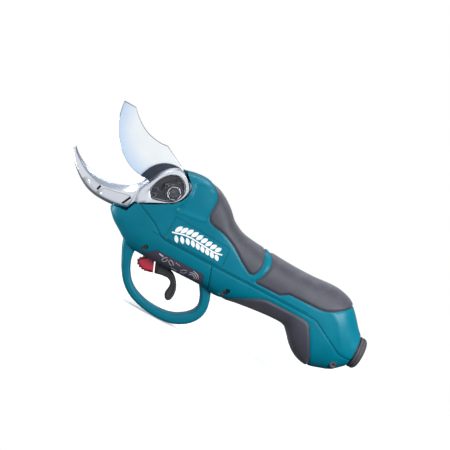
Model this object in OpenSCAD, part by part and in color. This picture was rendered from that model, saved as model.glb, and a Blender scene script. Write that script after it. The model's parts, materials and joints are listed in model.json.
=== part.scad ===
// Battery electric pruner: a bypass cutting head on a pistol-like body, driven by a motor,
// a planetary gearbox, a ball screw and a rack that turns a toothed sector on the blade.
// Drawn with the blade's pivot at the origin, the cutting head towards -X and the handle
// towards +X, then moved so that the mouth of the cable socket is the origin.

/* [Body] */
// Half width of the body at the gear case
body_half_w = 22; // [20:0.5:27]
// Wall of the moulded shells
wall = 3; // [2.4:0.1:3.2]
// Length of the handle between the trigger guard and the tail
grip_len = 87; // [72:1:120]
// Thickness of the soft grips
grip_t = 1.6; // [1:0.1:2]
// How far the soft grips stand proud of the shells
grip_proud = 0.5; // [0:0.1:1]
// Clearance between a soft grip and its bed
bed_gap = 0.05; // [0.02:0.01:0.2]
// Thickness of the label and name panels
panel_t = 1; // [0.6:0.1:1.4]
// Full width of the trigger guard
guard_w = 18; // [14:1:24]

/* [Cutting head] */
// Thickness of the cutting blade
blade_t = 4; // [3:0.1:5]
// Gap between the blade and the hook it passes
blade_gap = 0.3; // [0.2:0.05:0.5]
// Thickness of the hook
hook_t = 6; // [4:0.5:7.5]
// Extra height of the ring round the pivot
ring_rise = 6; // [5:0.5:8]
// Thickness of the dark shroud plate behind the ring
shroud_t = 2; // [1:0.5:3]
// Radius of the pivot spindle
spindle_r = 5; // [4:0.1:6]
// Radial running clearance of shafts in their bores
running = 0.05; // [0.02:0.01:0.1]
// Angle that the blade closes through
blade_swing = 43; // [30:1:43]

/* [Drive] */
// Module of the sector and rack teeth
rack_m = 2; // [1.5:0.25:2]
// Number of teeth on a full circle of the sector
sector_teeth = 22; // [20:1:26]
// Thickness of the sector
sector_t = 5; // [3:0.5:6]
// Distance from the rack's pitch line to the screw's axis
rack_to_screw = 12; // [11.5:0.5:14]
// Radius of the ball screw
screw_r = 5; // [4:0.25:6]
// Module of the planetary gears
planet_m = 0.8; // [0.6:0.05:0.8]
// Teeth of the sun, which are also the teeth of each planet
sun_teeth = 12; // [12:1:12]
// Outer radius of the motor
motor_r = 16.5; // [13:0.5:16.5]
// Length of the motor
motor_len = 40; // [30:1:46]

/* [Trigger] */
// Width of the trigger and of the lock-off lever
trigger_w = 11; // [8:0.5:13]
// Radius of the trigger and lock-off pins
pin_r = 2; // [1.5:0.1:2.5]

/* [Cable socket] */
// Radius of the socket's bore
socket_r = 9; // [7:0.5:10]
// Depth of the socket's bore
socket_depth = 8; // [6:0.5:9]

/* [Hidden] */
$fn = 48;

teal = [0.02, 0.46, 0.55];
soft_grey = [0.27, 0.25, 0.29];
steel = [0.76, 0.78, 0.82];
mirror_steel = [0.87, 0.93, 0.97];
dark_steel = [0.24, 0.26, 0.30];
brass = [0.80, 0.65, 0.35];

// Lengthwise places
guard_x = 72;
drawn_grip_len = 87;
tail_shift = grip_len - drawn_grip_len;
front_x = -41;
tail_x = 204 + tail_shift;
socket_x = 212 + tail_shift;
socket_z = -50;
socket_body_r = 12;
socket_back_x = socket_x - 25;

// Places across the tool, from the hook's outer face to the head frame
hook_in_y = -3;
hook_out_y = hook_in_y - hook_t;
ring_out_y = hook_out_y - ring_rise;
blade_in_y = hook_in_y + blade_gap;
blade_out_y = blade_in_y + blade_t;
sector_out_y = blade_out_y + sector_t;
slide_gap = 0.4;
frame_y = sector_out_y + 0.7;
frame_t = 4;
frame_boss = 3;
spindle_end_y = frame_y + frame_t + frame_boss;

// Drive sizes that follow from the driving ones
sector_r = rack_m * sector_teeth / 2;
drive_z = -(sector_r + rack_to_screw);
rack_travel = sector_r * blade_swing * PI / 180;
planet_teeth = sun_teeth;
ring_teeth = sun_teeth + 2 * planet_teeth;
planet_r = planet_m * planet_teeth / 2;
orbit_r = planet_m * (sun_teeth + planet_teeth) / 2;
ring_r = planet_m * ring_teeth / 2;
ring_out_r = ring_r + 1.6;
case_r = max(ring_out_r + 2, motor_r + 1);
screw_x0 = -25;
carrier_x = 47;
carrier_t = 3;
gear_x = carrier_x + carrier_t + 1;
gear_len = 8;
case_x0 = 44;
case_x1 = gear_x + gear_len + 3;
motor_x = case_x1;
motor_end_x = motor_x + motor_len;
shaft_r = 2.5;
stator_in_r = motor_r * 0.6;

// Trigger places
trigger_pivot = [21, -52];
lock_pivot = [10.5, -52];
slot_half_w = trigger_w / 2 + 1;
loop_top_z = -60.6;

// Stretches the handle: nothing in front of the guard's rear post moves
function gx(x) = x <= guard_x ? x
    : x >= guard_x + drawn_grip_len ? x + tail_shift
    : guard_x + (x - guard_x) * grip_len / drawn_grip_len;
function stretched(pts) = [for (p = pts) [gx(p[0]), p[1]]];

// Upper and lower profile of the body, its half width and the squareness of its section
top_knots = stretched([[-42, -35], [-40.5, -31], [-37, -25], [-32, -16], [-27.5, -4], [-22.5, 7],
    [-15, 15.6], [-6, 20.2], [1, 21.4], [9, 23.2], [19.5, 23.8], [30, 21.3], [41, 16.3],
    [50, 9.9], [58.5, 1.8], [69, -3.8], [80, -6], [95, -7.2], [119, -8.8], [141, -9],
    [162, -7.6], [173, -9], [182, -12.6], [190.5, -20.5], [199, -30.2], [205, -36]]);
bottom_knots = stretched([[-42, -36.5], [-40, -39.5], [-35, -45.5], [-27, -51], [-19.5, -56],
    [-12, -59.6], [-4, -60.6], [30, -60.6], [60, -60.6], [70, -62.4], [80, -61.9],
    [90, -60], [108, -57.9], [130, -56.4], [139, -57.6], [145, -63], [151.6, -70.3],
    [160, -76.4], [172, -79.6], [184, -77], [194, -73.2], [199.5, -68.5], [205, -63.5]]);
width_knots = stretched([[-42, 6], [-36, 11], [-28, 14.5], [-18, 17.5], [0, 20], [20, 21.4],
    [45, 22], [70, 21.6], [95, 20.4], [120, 19.6], [150, 19.6], [175, 20], [190, 18.2],
    [205, 15]]);
square_knots = stretched([[-42, 2.2], [-20, 3], [0, 3.6], [45, 3.6], [75, 3], [110, 2.5],
    [160, 2.5], [205, 2.1]]);
drawn_half_w = 22;

// Value at x on a smooth curve through [x, value] knots
function knot_before(k, x, i = 0) = i >= len(k) - 2 || x < k[i + 1][0] ? i : knot_before(k, x, i + 1);
function knot_slope(k, i) = let (a = max(i - 1, 0), b = min(i + 1, len(k) - 1))
    (k[b][1] - k[a][1]) / (k[b][0] - k[a][0]);
function along(k, x) = let (i = knot_before(k, x), h = k[i + 1][0] - k[i][0],
    t = (x - k[i][0]) / h, m0 = knot_slope(k, i) * h, m1 = knot_slope(k, i + 1) * h)
    k[i][1] * (2 * pow(t, 3) - 3 * t * t + 1) + m0 * (pow(t, 3) - 2 * t * t + t)
    + k[i + 1][1] * (3 * t * t - 2 * pow(t, 3)) + m1 * (pow(t, 3) - t * t);
function steepness(k, x) = let (s = along(k, x + 0.5) - along(k, x - 0.5)) min(sqrt(1 + s * s), 2.4);

// Smooth open curve through points, a few steps for each stretch
function spline_point(a, b, c, d, t) = 0.5 * (2 * b + (c - a) * t + (2 * a - 5 * b + 4 * c - d) * t * t
    + (3 * b - a - 3 * c + d) * t * t * t);
function smooth(pts, steps = 4) = let (last = len(pts) - 1) [for (i = [0:last - 1], j = [0:steps - 1])
    spline_point(pts[max(i - 1, 0)], pts[i], pts[i + 1], pts[min(i + 2, last)], j / steps), pts[last]];

// Involute gear outline with a tooth centred on angle 0; a negative slack fattens the teeth
function involute(a) = tan(a) * 180 / PI - a;
function tooth_half(n, r, rb, pa, slack, at) = 90 / n - slack / (2 * r) * 180 / PI + involute(pa)
    - involute(acos(min(1, rb / at)));
function gear_points(n, m, pa, add, ded, slack) = let (r = n * m / 2, rb = r * cos(pa), r0 = r - ded,
    r1 = r + add, levels = [r0, max(r0, rb), r - 0.4 * m, r, r + add / 2, r1],
    flank = [for (q = levels) [q, tooth_half(n, r, rb, pa, slack, max(q, rb))]])
    [for (i = [0:n - 1]) each concat(
        [for (f = flank) [f[0] * cos(i * 360 / n - f[1]), f[0] * sin(i * 360 / n - f[1])]],
        [for (k = [len(flank) - 1:-1:0]) let (f = flank[k])
            [f[0] * cos(i * 360 / n + f[1]), f[0] * sin(i * 360 / n + f[1])]])];

// A flat shape drawn in X and Z, given thickness from y0 to y1
module slab(y0, y1) translate([0, y1, 0]) rotate([90, 0, 0]) linear_extrude(y1 - y0) children();
// A flat shape drawn in Y and Z, given thickness from x0 to x1 on the drive's axis
module disc_x(x0, x1, z = drive_z) translate([x0, 0, z]) rotate([90, 0, 90])
    linear_extrude(x1 - x0) children();
module rod_y(r, y0, y1, x = 0, z = 0) translate([x, y1, z]) rotate([90, 0, 0]) cylinder(r = r, h = y1 - y0);
module rod_x(r, x0, x1, y = 0, z = drive_z) translate([x0, y, z]) rotate([0, 90, 0])
    cylinder(r = r, h = x1 - x0);
module tube_x(r_out, r_in, x0, x1, z = drive_z) difference() {
    rod_x(r_out, x0, x1, 0, z);
    rod_x(r_in, x0 - 1, x1 + 1, 0, z);
}

// The body's outer form, grown or shrunk, as a loft of superellipse sections
section_points = 28;
slice_places = [-41, -39, -36, -32.5, -29, -25.5, -22, -18, -13, -7, 0, 8, 16, 24, 32, 39, 46, 53,
    60, 67, 76, 90, 105, 120, 134, 141, 147, 153, 160, 168, 176, 183, 189, 195, 200, 204];
function signed_pow(v, p) = sign(v) * pow(abs(v), p);
function body_section(x, grow) = let (top = along(top_knots, x) + grow * steepness(top_knots, x),
    low = along(bottom_knots, x) - grow * steepness(bottom_knots, x), mid = (top + low) / 2,
    tall = max((top - low) / 2, 0.4), q = 2 / along(square_knots, x),
    wide = max(along(width_knots, x) * body_half_w / drawn_half_w + grow, 0.4))
    [for (i = [0:section_points - 1]) let (a = (i + 0.5) * 360 / section_points)
        [wide * signed_pow(cos(a), q), mid + tall * signed_pow(sin(a), q)]];
function body_ring(x, grow) = [for (p = body_section(x, grow)) [x, p[0], p[1]]];
// The stretch of the body between two sections
module body_stretch(a, b, grow) hull() polyhedron(concat(body_ring(a, grow), body_ring(b, grow)), concat(
    [[for (k = [section_points - 1:-1:0]) k], [for (k = [0:section_points - 1]) section_points + k]],
    [for (k = [0:section_points - 1]) let (n = (k + 1) % section_points)
        each [[k, n, section_points + n], [k, section_points + n, section_points + k]]]));
module body_form(grow, from_x = front_x, to_x = tail_x) {
    inner = [for (s = slice_places) let (x = gx(s)) if (x > from_x + 1 && x < to_x - 1) x];
    places = concat([from_x], inner, [to_x]);
    for (i = [0:len(places) - 2]) body_stretch(places[i], places[i + 1], grow);
}
module body_skin(grow, shrink, from_x, to_x) difference() {
    body_form(grow, max(from_x, front_x), min(to_x, tail_x));
    body_form(-shrink, max(from_x - 1, front_x + wall), min(to_x + 1, tail_x - wall));
}

// Where the shells part: an upper pair, a front piece with the guard and a lower pair
seam = stretched([[-20, -22], [-4, -29], [9, -38.3], [57, -38.7], [159, -39], [191.6, -56.7], [230, -58]]);
post_split = [[57, -38.7], [65, -61], [67.5, -90]];
module upper_area() polygon(concat(seam, [[300, 60], [-80, 60], [-80, -22]]));
module guard_area() polygon(concat([[-80, -22]], [for (i = [0:3]) seam[i]], [post_split[1], post_split[2]],
    [[-80, -90]]));
module lower_area() polygon(concat([for (i = [3:6]) seam[i]], [[300, -58], [300, -120], [67.5, -120]],
    [post_split[2], post_split[1]]));

// Steel side of the head: everything in front of this line belongs to the hook and the blade
hook_edge = [[-60, -34], [-40, -34], [-29, -32.4], [-25.8, -23.9], [-9, -15], [2.6, -8.4], [8.6, -2.5],
    [11.4, 3.8], [11.6, 10.4], [7.4, 16], [3, 20], [1, 23], [1, 60], [-60, 60]];
module steel_pocket() slab(-60, blade_out_y + 0.4) polygon(hook_edge);

// Soft grips, label and name panels: their outlines seen from the side
front_grip_pts = stretched(concat([[25, 40]], smooth([[26, 22], [31, 19.5], [34.4, 15], [35.6, 9], [35, 1],
    [37, -5], [42, -8], [52, -9.8], [65, -15], [79, -24.5], [89, -30]], 3),
    smooth([[92.4, -29.6], [95, -25], [96, -17], [93, -7], [92, 0]], 3), [[92, 40]]));
rear_grip_pts = stretched(concat([[96, 20]], smooth([[97, -6], [101.6, -11.5], [102.8, -18], [100.5, -27],
    [97, -33.4]], 3), [[98.6, -34.6], [121, -34.6], [124.6, -32.4]], smooth([[128, -30.2], [143, -29.8],
    [158, -29.4], [166, -27.4], [175, -22.4], [184, -15.5], [187, -11]], 3), [[187, 20]]));
lower_grip_pts = stretched(concat([[71.5, -90], [71.5, -66]], smooth([[74, -64.2], [85, -58.4], [96, -52],
    [107, -45.8], [114, -43.8], [130, -43.4], [149, -43.4], [155.4, -45.4], [160, -52], [167, -64],
    [171.4, -72], [174, -80]], 3), [[174, -90]]));
label_pts = [[-1, -59.4], [8.6, -50.2], [11, -49.4], [53.4, -49.4], [55.4, -50.6], [58, -59.4]];
name_pts = [[11, -15.8], [61.6, -18.4], [64.4, -20.6], [65, -34.4], [63.6, -35.8], [10, -35.8]];

// A piece moulded onto the body inside an outline, and the bed it lies in
module moulded(pts, from_x, to_x, proud, t) intersection() {
    body_skin(proud, t - bed_gap, from_x, to_x);
    slab(-50, 50) offset(delta = -bed_gap) polygon(pts);
}
module bed(pts, from_x, to_x, t) difference() {
    slab(-50, 50) polygon(pts);
    body_form(-t, max(from_x - 3, front_x + 1), min(to_x + 3, tail_x - 1));
}

// Screws through the shells: place, the group of shells it holds and the side its head is on
screw_spots = [[-1, -53, "guard", -1], [gx(78), -55.4, "lower", -1], [gx(192), -67, "lower", -1],
    [46, 4, "upper", 1], [gx(176), -30, "upper", 1]];
screw_r_shank = 1.5;
screw_head_r = 3;
screw_head_t = 2.4;
screw_seat_y = 12;
boss_r = 4.2;
module bosses(group) intersection() {
    for (s = screw_spots) if (s[2] == group) rod_y(boss_r, -40, 40, s[0], s[1]);
    body_form(-wall / 2, front_x + 1, tail_x - 1);
}
module screw_holes(group) for (s = screw_spots) if (s[2] == group) {
    rod_y(screw_r_shank + 0.1, -14, 14, s[0], s[1]);
    if (s[3] < 0) rod_y(screw_head_r + 0.5, -40, -screw_seat_y, s[0], s[1]);
    else rod_y(screw_head_r + 0.5, screw_seat_y, 40, s[0], s[1]);
}

// Cradles inside the shells that carry the gear case and the motor
cradle_t = 2;
module cradle(x, r) difference() {
    translate([x, 0, 0]) rotate([90, 0, 90]) linear_extrude(cradle_t) polygon(body_section(x, -wall / 2));
    rod_x(r + 0.15, x - 1, x + cradle_t + 1);
}
module shell_walls() {
    difference() {
        body_form(0);
        body_form(-wall, front_x + wall, tail_x - wall);
    }
    cradle(case_x0 + 8, case_r);
    cradle(motor_end_x - 10, motor_r);
}
module socket_opening() rod_x(socket_body_r + 0.1, tail_x - 30, tail_x + 20, 0, socket_z);
module shell_half(side, group) difference() {
    intersection() {
        union() {
            shell_walls();
            bosses(group);
        }
        if (side < 0) slab(-50, 0) children();
        else slab(0, 50) children();
    }
    screw_holes(group);
    steel_pocket();
    socket_opening();
}

module housing_half(side) difference() {
    shell_half(side, "upper") upper_area();
    bed(front_grip_pts, 20, gx(98), grip_t);
    bed(rear_grip_pts, gx(94), gx(190), grip_t);
    bed(name_pts, 6, 70, panel_t);
}
module housing_left() color(teal) housing_half(-1);
module housing_right() color(teal) housing_half(1);

module lower_half(side) difference() {
    shell_half(side, "lower") lower_area();
    bed(lower_grip_pts, 66, gx(178), grip_t);
}
module lower_shell_left() color(teal) lower_half(-1);
module lower_shell_right() color(teal) lower_half(1);

// Guard: a rounded bar swept along its centre line; each entry is [x, z, half thickness]
guard_line = smooth([[-12, -54, 6], [-12, -61, 5.6], [-9.4, -68.5, 5], [-5.6, -77, 4.6], [0, -85.4, 4.3],
    [6, -91, 4.2], [13, -94.8, 4.2], [24, -98, 4.1], [38, -99.2, 4.6], [50, -97.4, 5], [60, -92.2, 5.2],
    [66.4, -85.4, 4.9], [68.8, -78, 4.5], [67.4, -70, 4.5], [64.4, -63.2, 4.6], [61.6, -58, 4.6]], 2);
guard_round = 3;
guard_corner_steps = 3;
guard_ring = 4 * guard_corner_steps;
function guard_point(i, k) = let (a = guard_line[max(i - 1, 0)],
    b = guard_line[min(i + 1, len(guard_line) - 1)], p = guard_line[i],
    lean = atan2(b[1] - a[1], b[0] - a[0]), corner = floor(k / guard_corner_steps),
    t = corner * 90 + (k % guard_corner_steps) * 90 / (guard_corner_steps - 1),
    y = (corner == 0 || corner == 3 ? 1 : -1) * (guard_w / 2 - guard_round) + guard_round * cos(t),
    h = (corner < 2 ? 1 : -1) * (p[2] - guard_round) + guard_round * sin(t))
    [p[0] - h * sin(lean), y, p[1] + h * cos(lean)];
module guard_bar() {
    last = len(guard_line) - 1;
    polyhedron([for (i = [0:last], k = [0:guard_ring - 1]) guard_point(i, k)], concat(
        [for (i = [0:last - 1], k = [0:guard_ring - 1]) let (n = (k + 1) % guard_ring)
            each [[i * guard_ring + k, i * guard_ring + n, (i + 1) * guard_ring + n],
                [i * guard_ring + k, (i + 1) * guard_ring + n, (i + 1) * guard_ring + k]]],
        [[for (k = [guard_ring - 1:-1:0]) k], [for (k = [0:guard_ring - 1]) last * guard_ring + k]]));
}
// Ribs inside the guard frame that hold the two pins
rib_t = 2.4;
rib_inset = 0.3;
rib_low_z = loop_top_z + 2;
rib_h = trigger_pivot[1] + 4.4 - rib_low_z;
module pin_ribs() for (s = [-1, 1]) difference() {
    translate([3, s > 0 ? slot_half_w : -slot_half_w - rib_t, rib_low_z]) cube([25, rib_t, rib_h]);
    for (p = [trigger_pivot, lock_pivot]) rod_y(pin_r + 0.02, -20, 20, p[0], p[1]);
}
module guard_frame() color(teal) difference() {
    union() {
        shell_half_both("guard") guard_area();
        pin_ribs();
    }
    translate([-4, rib_inset - slot_half_w, loop_top_z - 0.6])
        cube([50, 2 * (slot_half_w - rib_inset), wall + 2]);
    bed(label_pts, -6, 64, panel_t);
}
module trigger_guard() color(teal) difference() {
    guard_bar();
    body_form(bed_gap, front_x, gx(87));
}
module shell_half_both(group) difference() {
    intersection() {
        union() {
            shell_walls();
            bosses(group);
        }
        slab(-50, 50) children();
    }
    screw_holes(group);
    steel_pocket();
}

module front_grip() color(soft_grey) moulded(front_grip_pts, 20, gx(98), grip_proud, grip_t);
module rear_grip() color(soft_grey) moulded(rear_grip_pts, gx(94), gx(190), grip_proud, grip_t);
module lower_grip() color(soft_grey) intersection() {
    moulded(lower_grip_pts, 66, gx(178), grip_proud, grip_t);
    slab(-50, 50) lower_area();
}
module side_panel(side, pts, from_x, to_x, proud) intersection() {
    moulded(pts, from_x, to_x, proud, panel_t);
    translate([-60, side < 0 ? -50 : 6, -120]) cube([260, 44, 200]);
}
module trigger_label_left() color(soft_grey) side_panel(-1, label_pts, -6, 64, 0.2);
module trigger_label_right() color(soft_grey) side_panel(1, label_pts, -6, 64, 0.2);
module name_panel_left() color(teal) side_panel(-1, name_pts, 6, 70, 0);
module name_panel_right() color(teal) side_panel(1, name_pts, 6, 70, 0);

// Hook: a curved shank that ends in a ring round the pivot
hook_shank = concat(
    smooth([[-25, -1], [-28, -4], [-32, -8.8], [-37, -12.8], [-45, -16], [-54, -18.2], [-63, -18.2], [-72, -16.6],
        [-80, -13.2], [-87, -9], [-90.6, -6], [-92.4, -4.2]]),
    smooth([[-94.2, -5.4], [-93, -9.6], [-88, -16.4], [-80, -24.2], [-70, -30.6], [-60, -33.7], [-48, -34.3],
        [-38, -33.4], [-29.4, -31.4]]), [[-26, -23.2], [-17, -18.4], [-9, -14], [-4, 0]]);
ring_edge = smooth([[-26, -23.2], [-17, -18.4], [-9, -14], [2, -7.6], [7.4, -2.4], [10, 4], [10.3, 9.8], [6, 15.4],
    [0, 19.6], [-6, 20.6], [-13, 17.4], [-18.4, 11.6], [-22, 4], [-24.6, -2], [-28, -12]]);
ring_recess = smooth([[-19.6, -5.4], [-18.6, -9.6], [-15.2, -12.4], [-9, -11.2], [0, -8.4], [5.4, -3.2], [7.8, 3],
    [6.4, 9], [2.4, 13.2], [-3, 15], [-9.4, 13.2], [-14.6, 8.4], [-18, 2], [-19.6, -5.4]]);
shroud_edge = concat(smooth([[-32.4, -0.6], [-30.4, 5], [-27, 11.4], [-22, 16.6], [-16, 19.8], [-9, 21.2],
    [-4, 20.8]]), [[4, 12], [8, 2], [4, -6], [-10, -10], [-24, -0.6]]);
panel_depth = 0.8;
module hook_blade() color(steel) difference() {
    union() {
        slab(hook_out_y, hook_in_y) polygon(hook_shank);
        slab(ring_out_y, hook_in_y) polygon(ring_edge);
    }
    slab(ring_out_y - 1, hook_out_y) polygon(ring_recess);
    slab(hook_in_y - shroud_t, hook_in_y + 1) polygon(shroud_edge);
    rod_y(spindle_r + running, ring_out_y - 1, hook_in_y + 1);
    for (s = lock_screw_spots) rod_y(lock_screw_r + 0.02, hook_out_y - 1, hook_in_y - shroud_t, s[0], s[1]);
    slab(hook_out_y - 1, hook_out_y + panel_depth) {
        polygon(smooth([[-54, -23.6], [-44, -22.6], [-33, -20.6], [-31, -24], [-34, -29.4], [-44, -31], [-54, -31],
            [-55.4, -27], [-54, -23.6]], 3));
        polygon(smooth([[-57.6, -23.6], [-63, -23], [-68, -22], [-67, -26], [-63, -29], [-57.6, -30.2],
            [-56.8, -27], [-57.6, -23.6]], 3));
    }
}
module shroud_plate() color(dark_steel) difference() {
    slab(hook_in_y - shroud_t, hook_in_y) polygon(shroud_edge);
    rod_y(spindle_r + running, -20, 20);
}

// Lock plate in the ring's recess, with a curved slot round the pivot
lock_plate_t = 2;
lock_screw_r = 1.3;
lock_screw_head_r = 2.1;
lock_screw_spots = [[-15.4, -4.2], [-15, -9.2]];
slot_r = 12.2;
nut_lock_spot = [-8.6, 2.8];
module lock_plate() color(dark_steel) difference() {
    slab(hook_out_y - lock_plate_t, hook_out_y) offset(delta = -0.3) polygon(ring_recess);
    rod_y(spindle_r + running, -30, 0);
    slab(hook_out_y - lock_plate_t - 1, hook_out_y + 1) polygon(concat(
        [for (a = [100:7:184]) slot_r * 1.12 * [cos(a), sin(a)]],
        [for (a = [184:-7:100]) slot_r * 0.94 * [cos(a), sin(a)]]));
    for (s = lock_screw_spots) rod_y(lock_screw_r + 0.02, -30, 0, s[0], s[1]);
    rod_y(lock_screw_r + 0.02, -30, 0, nut_lock_spot[0], nut_lock_spot[1]);
}
module small_screw(p, y_seat, length) {
    difference() {
        rod_y(lock_screw_head_r, y_seat - 1.8, y_seat, p[0], p[1]);
        rod_y(1.1, y_seat - 2.8, y_seat - 0.9, p[0], p[1], $fn = 6);
    }
    rod_y(lock_screw_r, y_seat, y_seat + length, p[0], p[1]);
}
module lock_plate_screws() color(steel) for (s = lock_screw_spots)
    small_screw(s, hook_out_y - lock_plate_t, lock_plate_t + hook_t - shroud_t - 0.2);
module nut_lock_screw() color(dark_steel) small_screw(nut_lock_spot, hook_out_y - lock_plate_t,
    lock_plate_t);

// Cutting blade with a round root, open in the stored pose
blade_root = [for (a = [62:-14:-134]) 16.4 * [cos(a), sin(a)]];
blade_edge = concat([[-22, -6.5]], smooth([[-25, -1.7], [-32, -0.4], [-38, 0.4], [-46, 3.4], [-54, 8.8],
    [-61, 15.2], [-66.6, 22.4], [-70.6, 30.6], [-73, 39.4], [-74.3, 48.6]]), [[-74, 49.6], [-64.4, 49.6]]);
blade_spine = concat(smooth([[-63.2, 49], [-57, 43.2], [-49, 37.4], [-40, 33.6], [-30, 32.1], [-24.6, 32.4]]),
    [[-23, 32.6], [-1, 20.8]]);
module cutting_blade() color(mirror_steel) difference() {
    slab(blade_in_y, blade_out_y) polygon(concat(blade_root, blade_edge, blade_spine));
    rod_y(spindle_r + 0.02, -20, 20);
}
// Spindle with a shoulder for the washer and a thinner stub for the nut
washer_y = hook_out_y - lock_plate_t - 0.3;
washer_t = 1.1;
stub_r = spindle_r * 0.6;
nut_corner_r = 5.8;
module blade_spindle() color(steel) {
    rod_y(spindle_r, washer_y, spindle_end_y);
    rod_y(stub_r, ring_out_y + 1, washer_y);
    rod_y(spindle_r + 1.4, spindle_end_y, spindle_end_y + 1);
}
module pivot_washer() color(dark_steel) difference() {
    rod_y(spindle_r + 1, washer_y - washer_t, washer_y);
    rod_y(stub_r + 0.02, -30, 0);
}
module pivot_nut() color(dark_steel) difference() {
    rod_y(nut_corner_r, ring_out_y - 0.2, washer_y - washer_t, $fn = 6);
    rod_y(stub_r + 0.02, -30, 0);
}

// Toothed sector on the blade's back
tooth_play = 0.15;
sector_from = 206;
sector_to = 290;
module sector_gear() color(dark_steel) difference() {
    slab(blade_out_y, sector_out_y) intersection() {
        rotate(-90) polygon(gear_points(sector_teeth, rack_m, 20, rack_m, 1.25 * rack_m, tooth_play));
        union() {
            circle(r = 12);
            polygon(concat([[0, 0]], [for (a = [sector_from:12:sector_to]) sector_r * 1.3 * [cos(a), sin(a)]]));
        }
    }
    rod_y(spindle_r + 0.02, -20, 30);
}

// Rack on the screw's nut: straight teeth that mesh with the sector
rack_back = 6;
rack_x0 = -(rack_travel + rack_back);
rack_x1 = rack_back;
rack_y0 = blade_out_y + slide_gap;
rack_y1 = sector_out_y - slide_gap;
rack_root_z = -(sector_r + 1.25 * rack_m);
nut_top_z = rack_root_z - 2.5;
nut_half_w = frame_y - 0.6;
nut_x0 = -13;
nut_x1 = rack_x1;
rack_sink = 0.5;
function rack_half(f) = rack_m * (PI / 4 - f * tan(20)) - tooth_play / 2;
module rack_tooth() polygon([[-rack_half(-1.25), rack_root_z - rack_sink], [-rack_half(-1.25), rack_root_z],
    [-rack_half(1), -sector_r + rack_m], [rack_half(1), -sector_r + rack_m],
    [rack_half(-1.25), rack_root_z], [rack_half(-1.25), rack_root_z - rack_sink]]);
module drive_rack() color(dark_steel) union() {
    for (k = [-3:0]) slab(rack_y0, rack_y1) translate([(k + 0.5) * PI * rack_m, 0]) rack_tooth();
    translate([rack_x0, rack_y0, nut_top_z]) cube([rack_x1 - rack_x0, rack_y1 - rack_y0, rack_root_z - nut_top_z]);
}
module screw_nut() color(steel) difference() {
    translate([nut_x0, -nut_half_w, drive_z - 8]) cube([nut_x1 - nut_x0, 2 * nut_half_w, nut_top_z - drive_z + 8]);
    rod_x(screw_r + running, -60, 60);
}

// Screw, drawn as a round shaft with a groove for each turn
screw_lead = 8;
bearing_r = 9;
front_bush_r = screw_r + 1.2;
module drive_screw() color(steel) difference() {
    rod_x(screw_r, screw_x0, carrier_x);
    for (x = [nut_x0 - 5:screw_lead / 2:nut_x1 + rack_travel + 2])
        translate([x, 0, drive_z]) rotate([0, 90, 0]) rotate_extrude() translate([screw_r, 0]) circle(r = 0.8);
}
module screw_front_bush() color(brass) tube_x(front_bush_r, screw_r + running, screw_x0 + 0.4, screw_x0 + 5);
module screw_rear_bearing() color(steel) tube_x(bearing_r, screw_r + running, rear_block_x,
    rear_block_x + rear_block_t);

// Head frame: a cast plate beside the sector with blocks for the screw's bearings
front_block_y1 = frame_y + 2.8;
rear_block_x = 35;
rear_block_t = 7;
module head_frame() color(steel) difference() {
    union() {
        slab(frame_y, frame_y + frame_t) polygon([[-22, drive_z - 4], [-22, -16], [-11, 6], [0, 13], [12, 8],
            [24, -8], [rear_block_x + 2, drive_z + 10], [rear_block_x + 2, drive_z - 8], [20, drive_z - 8]]);
        rod_y(10, frame_y, frame_y + frame_t + frame_boss - 0.4);
        translate([screw_x0 + 0.4, -8, drive_z - 8]) cube([4.6, front_block_y1 + 8, 16]);
        translate([rear_block_x, -11, drive_z - 11]) cube([rear_block_t, 11 + frame_y + frame_t, 22]);
    }
    rod_y(spindle_r + 2, 0, 40);
    rod_x(front_bush_r + 0.02, screw_x0 - 3, screw_x0 + 8);
    rod_x(bearing_r + 0.02, rear_block_x - 1, rear_block_x + rear_block_t + 1);
    translate([screw_x0 - 1, rack_y0 - slide_gap, nut_top_z - 0.6])
        cube([screw_x0 + 50, rack_y1 - rack_y0 + 2 * slide_gap, 20]);
}
module spindle_bush() color(brass) difference() {
    rod_y(spindle_r + 1.98, frame_y, frame_y + frame_t + frame_boss - 0.4);
    rod_y(spindle_r + running, 0, 40);
}

// Planetary gearbox
gear_angle = 25;
gear_play = 0.1;
module planet_carrier() color(steel) difference() {
    rod_x(orbit_r + 4, carrier_x, carrier_x + carrier_t);
    for (a = [0, 120, 240]) planet_at(a) rod_x(1.52, carrier_x - 1, carrier_x + 10, 0, 0);
}
module planet_at(a) translate([0, orbit_r * cos(a), drive_z + orbit_r * sin(a)]) children();
module planet_pins() color(steel) for (a = [0, 120, 240])
    planet_at(a) rod_x(1.5, carrier_x, gear_x + gear_len + 0.3, 0, 0);
module planet_gear(a) planet_at(a) difference() {
    disc_x(gear_x, gear_x + gear_len, 0) rotate(a + 180 / planet_teeth)
        polygon(gear_points(planet_teeth, planet_m, gear_angle, 0.9 * planet_m, 1.2 * planet_m, gear_play));
    rod_x(1.5 + running, gear_x - 1, gear_x + gear_len + 1, 0, 0);
}
module planet_gear_1() color(brass) planet_gear(0);
module planet_gear_2() color(brass) planet_gear(120);
module planet_gear_3() color(brass) planet_gear(240);
module sun_gear() color(dark_steel) difference() {
    disc_x(gear_x, gear_x + gear_len)
        polygon(gear_points(sun_teeth, planet_m, gear_angle, 0.9 * planet_m, 1.2 * planet_m, gear_play));
    rod_x(shaft_r - 0.3, gear_x - 1, gear_x + gear_len + 1);
}
module ring_gear() color(dark_steel) difference() {
    rod_x(ring_out_r, gear_x - 0.5, gear_x + gear_len + 0.5);
    disc_x(gear_x - 1, gear_x + gear_len + 1) rotate(180 / ring_teeth)
        polygon(gear_points(ring_teeth, planet_m, gear_angle, 1.2 * planet_m, 0.9 * planet_m, -gear_play));
}
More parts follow.
